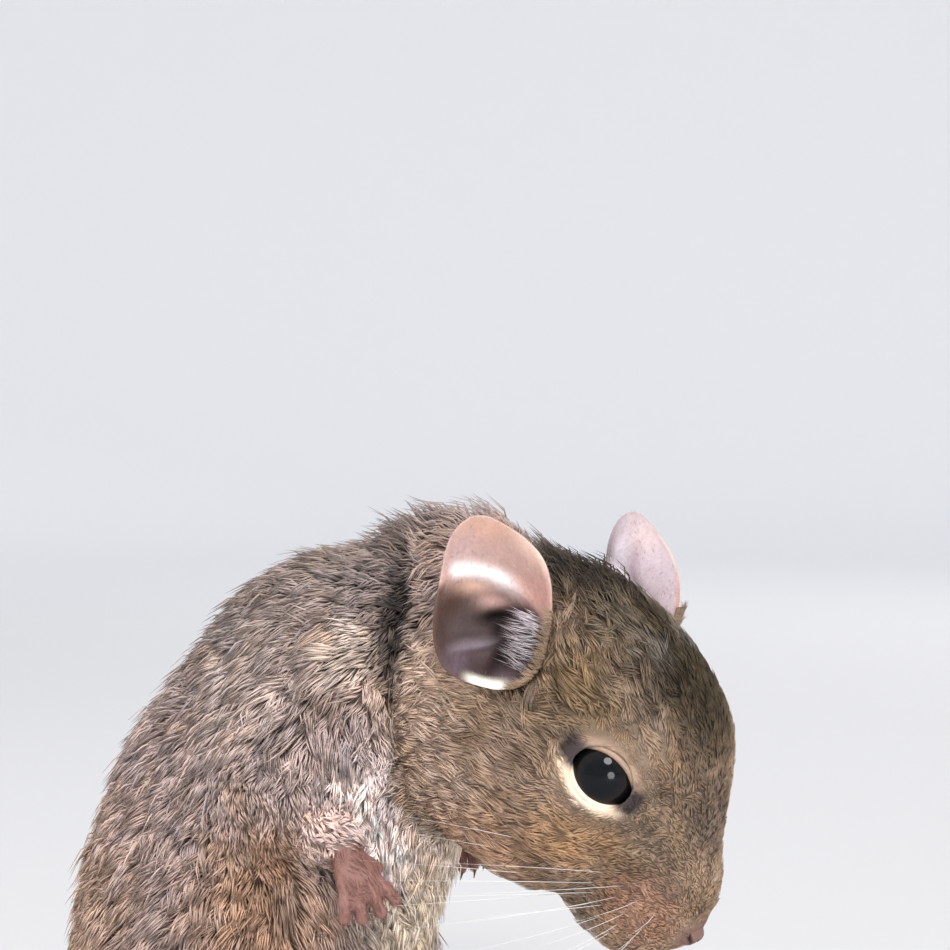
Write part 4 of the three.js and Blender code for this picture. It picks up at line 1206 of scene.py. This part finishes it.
def coat_piece(name, roots, normals, ways, hair_sizes, tints, places):
    """One piece of coat from its roots; hairs near one another draw together into locks."""
    lengths, widths, heights = hair_sizes
    count = len(roots)
    leaders = np.arange(0, count, LOCK_HAIRS)
    finder = KDTree(len(leaders))
    for n in leaders:
        finder.insert(roots[n], int(n))
    finder.balance()
    nearest = np.array([finder.find(root)[1] for root in roots])
    near = np.linalg.norm(roots - roots[nearest], axis=1) < LOCK_REACH
    turn = draw.normal(0, LOCK_TURN, count)[nearest] + draw.normal(0, HAIR_TURN, count)
    turn = turn[:, None]
    ways = unit(ways * np.cos(turn) + np.cross(normals, ways) * np.sin(turn))
    lengths = lengths * draw.uniform(0.8, 1.2, count)[nearest] * draw.uniform(0.8, 1.12, count)
    heights = heights * draw.uniform(0.65, 1.2, count)[nearest] * draw.uniform(0.6, 1.0, count)
    tip = over_skin(roots + ways * lengths[:, None], heights)
    bend = over_skin(roots + ways * (0.45 * lengths)[:, None], heights * 0.95)
    pull = (LOCK_PULL * near * draw.uniform(0.5, 1.0, count))[:, None]
    reach = tip[nearest] - roots[nearest]
    tip = tip + pull * (roots[nearest] + reach * (lengths / lengths[nearest])[:, None] - tip)
    hairs = blades(roots - normals * ROOT_DEPTH, bend, tip, normals, widths)
    tones = 0.15 * draw.random(count) + 0.85 * draw.random(count)[nearest]
    hue = draw.normal(0, 1, count)[nearest][:, None]
    tints = np.clip(tints * (1 + hue * (0.018, 0.0, -0.03)), 0.001, 1)
    hair_piece(name, hairs, tints, tones, places)


coat_sheet = Sheet("agouti coat", Roughness=0.62, Specular_IOR_Level=0.3)
along, tone = coat_sheet.stored("along"), coat_sheet.stored("tone")
streaks = coat_sheet.noise(700, 2)
root_shade = along.between(0.0, 0.5) * 0.22 + 0.78
band = along.between(0.3, 0.6) * (1 - along.between(0.8, 0.95))
dark_tip = along.between(0.7, 0.95) * tone.between(0.8, 0.3)
level = root_shade * (0.76 + tone * 0.36 + band * 0.2) * (1 - dark_tip * 0.25)
coat_sheet.feed(Base_Color=coat_sheet.scaled(
    coat_sheet.stored("tint", True), level * (0.85 + streaks * 0.3)))

# Three coats cover the skin: one on the body, a finer one on the head, shortest on the muzzle,
# and a thin one on the feet. Nape and crown carry darker hairs that stand up. Each hair takes
# the place of its root on an unwrap of the skin, and a large coat is cut into several pieces.
COATS = {  # hairs to a square millimetre, their length and width, and their finish
    "body": (9.2, (3.9, 0.27), "coat"),
    "head": (11.5, (3.7, 0.185), "coat"),
    "feet": (5.0, (1.5, 0.07), "foot_skin"),
}
HAIR_FACES, PIECE_FACES = 10, 190000
NAPE_AT, NAPE_RADII = (18, 0, 72), (13, 14, 9)
CROWN_AT, CROWN_RADII = (-13, 0, 18), (11, 12, 8)
GUARD_HAIRS, TILE_EDGE = 0.06, 0.04


def unwrapped(points, normals):
    """Six flat maps of the skin, one for each way it faces, three across and two up."""
    low, high = skin_points.min(0), skin_points.max(0)
    axis = np.abs(normals).argmax(1)
    tiles = axis * 2 + (normals[np.arange(len(normals)), axis] > 0)
    share = TILE_EDGE + (1 - 2 * TILE_EDGE) * (points - low) / (high - low).max()
    across = np.choose(axis, (share[:, 1], share[:, 0], share[:, 0]))
    up = np.choose(axis, (share[:, 2], share[:, 2], share[:, 1]))
    return np.stack([(tiles % 3 + across) / 3, (tiles // 3 + up) / 2], 1)


def not_bare(points):
    """0 in the eye openings, on the nose's end, under the ears, on soles and tail; else 1."""
    local = to_head(points)
    free = smoothstep(1.1, 1.3, slit_reach(points))
    free *= 1 - nearness(local, (24.2, 0, -4.9), (3.0, 3.0, 2.8))
    for name in ("right", "left"):
        place = to_ear(points, name)
        bowl = ((place - (0.3, 7.6, 0.5)) / (5.2, 7.2, 5.0)) ** 2
        free *= bowl.sum(1) > 1
    design = points - SHIFT
    return free * smoothstep(0.2, 1.2, design[:, 2]) * (1 - tail_share(points))


def coat_wanted(points, part, density):
    """How many hairs of one coat grow at each place."""
    on_head, on_feet = headness(points), foot_share(points)
    fine = 1 + smoothstep(8, 20, to_head(points)[:, 0]) * on_head
    share = {"head": on_head * fine, "body": 1 - on_head, "feet": on_feet}[part]
    share = share if part == "feet" else share * (1 - on_feet)
    return density * share * not_bare(points)


def hair_growth(part, roots, length):
    """Each hair's length, its tip's height over the skin, its slimness and its darkness."""
    design, local = folded(roots - SHIFT), folded(to_head(roots))
    lengths = np.full(len(roots), length)
    heights = np.maximum(coat_depth(roots), 0.12)
    slim, dark = np.ones(len(roots)), np.zeros(len(roots))
    if part == "head":
        slim = 0.26 + 0.74 * smoothstep(21, 0, local[:, 0])
        slim *= 0.4 + 0.6 * smoothstep(5.4, 8.5, eye_reach(roots))
        lengths *= slim
        heights *= 0.8 + 0.5 * draw.random(len(roots))
    if part == "body":
        wrists = [from_line(roots - SHIFT, WRIST_AT[n], ELBOW_AT[n])[0] for n in ("right", "left")]
        lengths *= 1 - 0.55 * smoothstep(8, 4, np.min(wrists, axis=0))
        heights *= 1 - 0.4 * smoothstep(8, 4, np.min(wrists, axis=0))
        guard = draw.random(len(roots)) < GUARD_HAIRS
        lengths *= np.where(guard, 1.3, 1.0)
        heights *= np.where(guard, 1.5, 1.0)
    if part != "feet":
        nape = nearness(design, NAPE_AT, NAPE_RADII)
        crown = nearness(local, CROWN_AT, CROWN_RADII)
        rise = draw.random(len(roots))
        lengths *= 1 + 0.1 * nape * rise
        heights += (4.4 * nape + 2.6 * crown) * rise ** 1.5
        near_fold = smoothstep(5.5, 2.5, fold_reach(roots)) * (1 - nape)
        lengths *= 1 - 0.35 * near_fold
        dark = np.maximum(nape, crown) * smoothstep(0.35, 0.95, rise)
    return lengths, heights, slim, dark


for part, (density, (length, width), finish) in COATS.items():
    roots, normals = strewn(coat_wanted, part, density)
    ways = lie(roots, normals)
    lengths, heights, slim, dark = hair_growth(part, roots, length)
    widths = width * (0.6 + 0.4 * slim)
    tints = markings(roots) * (1 - 0.2 * dark[:, None])
    places = unwrapped(roots, normals)
    order = np.argsort(roots[:, 0] + 0.6 * roots[:, 2])
    pieces = math.ceil(len(roots) * HAIR_FACES / PIECE_FACES)
    for n, chosen in enumerate(np.array_split(order, pieces)):
        hair_sizes = (lengths[chosen], widths[chosen], heights[chosen])
        coat_piece(f"{part}_coat_{n + 1}", roots[chosen], normals[chosen], ways[chosen],
                   hair_sizes, tints[chosen], places[chosen])

# Each ear wears a short pale down on both faces, locks of long grey hairs that spring from its
# front edge and cross the bowl, and brown hairs that hide the lower part of that edge.
DOWN_HAIRS, COVER_HAIRS, EAR_LOCKS, HAIRS_A_LOCK = 900, 420, 17, 15
DOWN_WIDTH, LOCK_WIDTH, COVER_WIDTH = 0.04, 0.11, 0.13
LOCKS_SPRING, COVER_SPRINGS = (-1.22, -0.42), (-1.5, -0.12)  # angles round the front edge
EAR_PALE, EAR_GREY = paint(200, 192, 196), paint(112, 103, 106)


def ear_down(points, faces, side):
    """Short hairs on both faces of an ear, combed toward its tip, and the ways they stand."""
    corners = points[faces]
    areas = areas_of(corners)
    picked = draw.choice(len(faces), DOWN_HAIRS, p=areas / areas.sum())
    root = corners[picked].mean(1)
    normal = normals_of(points, faces)[faces[picked, 0]]
    upward = HEAD_TURN @ (EAR_UP * (1, side, 1))
    strayed = draw.normal(0, 0.3, (DOWN_HAIRS, 3))
    way = unit(upward + strayed - normal * (normal @ upward)[:, None])
    size = draw.uniform(0.35, 0.75, (DOWN_HAIRS, 1))
    down = [root, root + way * size * 0.5 + normal * 0.1, root + way * size + normal * 0.2]
    return down, normal


def ear_locks():
    """Locks of long hairs from the front edge across the bowl, in the ear's frame."""
    count = EAR_LOCKS * HAIRS_A_LOCK
    turn = np.repeat(draw.uniform(*LOCKS_SPRING, EAR_LOCKS), HAIRS_A_LOCK)
    turn = turn + draw.normal(0, 0.05, count)
    start = ear_face(draw.uniform(0.74, 0.99, count), turn)
    way = (-3.2, 1.4, 0.1) + np.repeat(draw.normal(0, 0.5, (EAR_LOCKS, 3)), HAIRS_A_LOCK, 0)
    way += draw.normal(0, 0.16, (count, 3))
    size = draw.uniform(0.4, 1.1, (count, 1))
    return [start, start + (way * 0.5 + (0, 0.2, 1.0)) * size, start + way * size]


def ear_cover():
    """Hairs that spring from behind the front edge and bend over it, in the ear's frame."""
    turn = draw.uniform(*COVER_SPRINGS, COVER_HAIRS)
    start = ear_face(np.full(COVER_HAIRS, 1.03), turn) - (0, 0, 0.9)
    way = (-0.9, 0.9, 0.7) + draw.normal(0, 0.3, (COVER_HAIRS, 3))
    size = draw.uniform(0.6, 1.3, (COVER_HAIRS, 1))
    return [start, start + (0.35, 0.3, 1.5), start + (0.1, 0.4, 1.4) + way * size]


for name, side in (("right", -1), ("left", 1)):
    down, normal = ear_down(*ears[name], side)
    locks = [from_ear(places, name) for places in ear_locks()]
    cover = [from_ear(places, name) for places in ear_cover()]
    root, bend, tip = (np.vstack(three) for three in zip(down, locks, cover))
    count = EAR_LOCKS * HAIRS_A_LOCK
    out = np.tile(HEAD_TURN @ (ear_basis(name)[:, 2] * (1, side, 1)), (count + COVER_HAIRS, 1))
    widths = np.repeat((DOWN_WIDTH, LOCK_WIDTH, COVER_WIDTH), (DOWN_HAIRS, count, COVER_HAIRS))
    hairs = blades(root, bend, tip, np.vstack([normal, out]), widths)
    flat = to_ear(root, name)
    shade = np.repeat(draw.random(EAR_LOCKS), HAIRS_A_LOCK)
    on_leaf = flat[:DOWN_HAIRS]
    tints = np.vstack([
        laid(ear_tints(on_leaf), EAR_PALE, 0.3 * smoothstep(9, 13, on_leaf[:, 1])),
        laid(np.tile(EAR_GREY, (count, 1)), EAR_PALE, shade),
        markings(root[DOWN_HAIRS + count:]),
    ])
    spots = np.stack([(flat[:, 0] + 10) / 20, (flat[:, 1] + 2) / 24], 1)
    hair_piece("ear_hair_" + name, hairs, tints, draw.uniform(0.5, 1, len(root)), spots)

# Stiff hair lies back along the tail and grows into a dark brush over its last third. It
# springs from under the tail's skin, all the way round, and covers the end of the tail.
TAIL_HAIRS = (  # piece, how many, from and to what share of the tail, length, lift, width
    ("tail_coat", 5200, (0.02, 0.99), 3.4, 0.28, 0.16),
    ("tail_brush", 2600, (0.64, 0.98), 9.5, 0.36, 0.17),
)
for part, count, (first, last), length, lift, width in TAIL_HAIRS:
    share = np.sort(draw.uniform(first, last, count))
    middle, radius = tail_path(share)
    ahead = unit(tail_path(share + 0.004)[0] - middle)
    turn = draw.uniform(0, 2 * np.pi, count)
    across = unit(np.cross((0, 0, 1.0), ahead))
    out = across * np.cos(turn)[:, None] + np.cross(ahead, across) * np.sin(turn)[:, None]
    lengths = length * draw.uniform(0.6, 1.15, count)
    if part == "tail_brush":
        lengths *= 0.45 + 0.55 * smoothstep(0.64, 0.86, share)
        lengths *= 1 - 0.8 * smoothstep(0.88, 0.975, share)
    rise = (lengths * lift * draw.uniform(0.3, 1.0, count))[:, None]
    root = middle + out * (radius * 0.55)[:, None]
    bend = root + ahead * (0.5 * lengths)[:, None] + out * rise * 0.75
    tip = root + ahead * lengths[:, None] + out * rise
    hairs = blades(root, bend, tip, out, np.full(count, width))
    brown = np.tile(TAIL_COAT * 1.5, (count, 1))
    tints = laid(brown, TAIL_COAT * 0.25, smoothstep(0.55, 0.7, share))
    places = np.stack([0.01 + 0.98 * share, 0.01 + 0.98 * turn / (2 * np.pi)], 1)
    hair_piece(part, hairs, tints, draw.random(count), places)

# The whiskers are stiff white hairs, fine as thread, darker at the root. They spring from four
# rows on each muzzle pad, the hindmost longest, and droop a little.
WHISKER_ROWS, WHISKERS_A_ROW, WHISKER_SIDES, WHISKER_RADIUS = 4, 5, 5, 0.047
WHISKER_ROOT, WHISKER_WHITE = (0.3, 0.27, 0.24, 1), (0.8, 0.78, 0.75, 1)
whisker_sheet = Sheet("whisker", Roughness=0.35)
whisker_sheet.feed(Base_Color=whisker_sheet.blended(
    whisker_sheet.stored("from_root").between(0.0, 0.5), WHISKER_ROOT, WHISKER_WHITE))
shapes = []
share = np.linspace(0, 1, 12)[:, None]
for side in (-1, 1):
    for row in range(WHISKER_ROWS):
        for n in range(WHISKERS_A_ROW):
            start = np.array([19.0 - 1.5 * n, 3.6 + 0.55 * n, -3.2 - 1.35 * row + 0.2 * n])
            way = np.array([0.4 - 0.32 * n - 0.05 * row, 1.0, 0.02 - 0.27 * row])
            way = unit(way + draw.normal(0, 0.08, 3))
            length = (9 + 3.2 * n) * draw.uniform(0.8, 1.1)
            path = start + way * length * share + np.array([-0.3, 0, -0.32]) * length * share ** 2
            path = from_head(path * (1, side, 1))
            radii = WHISKER_RADIUS * (1 - 0.93 * share[:, 0])
            shapes.append(outward(*tube(path, radii, WHISKER_SIDES)))
whiskers = linked("whiskers", triangle_mesh("whiskers", *joined(shapes)))
from_root = np.append(np.repeat(share[:, 0], WHISKER_SIDES), (0, 1))
store(whiskers.data, "from_root", np.tile(from_root, len(shapes)))
whiskers.data.materials.append(whisker_sheet.material)
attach(whiskers, "root")

# The floor is a plain pale sheet that curves up into a wall all round, far from the animal. It
# grows a little paler with distance, so that floor and wall look one.
FLOOR_SIDES, FLAT_RADIUS, CURVE_RADIUS, CURVE_RISE, WALL_TOP = 96, 900, 400, 400, 900
FLOOR_NEAR, FLOOR_FAR = (0.56, 0.555, 0.55, 1), (0.88, 0.87, 0.86, 1)
floor_sheet = Sheet("pale floor", Roughness=0.9)
distance = floor_sheet.add("ShaderNodeVectorMath", {"operation": "LENGTH"}, {
    0: floor_sheet.add("ShaderNodeTexCoord", out=3)}, out=1)
floor_sheet.feed(
    Base_Color=floor_sheet.blended(distance.between(0.3, 1.1), FLOOR_NEAR, FLOOR_FAR))
turn = np.linspace(0, math.pi / 2, 14)
curve = zip(FLAT_RADIUS + CURVE_RADIUS * np.sin(turn), CURVE_RISE * (1 - np.cos(turn)))
rims = [(1, 0), (FLAT_RADIUS / 2, 0), *curve, (FLAT_RADIUS + CURVE_RADIUS, WALL_TOP)]
floor_points, floor_faces = [], []
for n, (radius, rise) in enumerate(rims):
    for m in range(FLOOR_SIDES):
        angle = 2 * math.pi * m / FLOOR_SIDES
        across, along = radius * MM * math.cos(angle), radius * MM * math.sin(angle)
        floor_points.append((across, along, rise * MM))
        if n:
            a = FLOOR_SIDES * (n - 1) + m
            b = FLOOR_SIDES * (n - 1) + (m + 1) % FLOOR_SIDES
            floor_faces.append((a, a + FLOOR_SIDES, b + FLOOR_SIDES, b))
floor_faces.append(tuple(range(FLOOR_SIDES)))
floor_mesh = bpy.data.meshes.new("floor")
floor_mesh.from_pydata(floor_points, [], floor_faces)
floor_mesh.shade_smooth()
floor_mesh.materials.append(floor_sheet.material)
linked("floor", floor_mesh)

# Four round lamps light the animal softly. The two before it stand in its eyes as small glints;
# the two beside and behind it lift the edge of its coat and don't glint. A cool pale room fills
# the shade.


def softbox(name, offset, size, power, colour, glints):
    """A lamp that looks at the head; its offset is picture-right, up and to the camera."""
    right = Vector((math.cos(AZIMUTH), math.sin(AZIMUTH), 0))
    place = right * offset[0] + Vector((0, 0, offset[1])) + toward_camera * offset[2]
    data = bpy.data.lights.new(name, "AREA")
    data.shape = "DISK"
    data.size = size
    data.energy = power
    data.color = colour
    lamp = bpy.data.objects.new(name, data)
    bpy.context.scene.collection.objects.link(lamp)
    lamp.location = Vector(HEAD_AT) * MM + place
    lamp.rotation_euler = place.to_track_quat("Z", "Y").to_euler()
    lamp.visible_glossy = glints


softbox("key", (0.06, 0.46, 0.46), 0.27, 3.1, (1.0, 0.97, 0.94), True)
softbox("front", (0.09, 0.0, 0.4), 0.15, 0.62, (0.97, 0.98, 1.0), True)
softbox("side", (-0.6, 0.35, 0.1), 0.5, 1.9, (1.0, 0.98, 0.96), False)
softbox("rim", (0.2, 0.5, -0.5), 0.5, 1.8, (1.0, 0.97, 0.95), False)
world = bpy.data.worlds.new("room")
world.use_nodes = True
air = world.node_tree.nodes["Background"]
air.inputs["Color"].default_value = (0.85, 0.9, 1.0, 1)
air.inputs["Strength"].default_value = 0.9
bpy.context.scene.world = world
bpy.context.scene.view_settings.view_transform = "Standard"
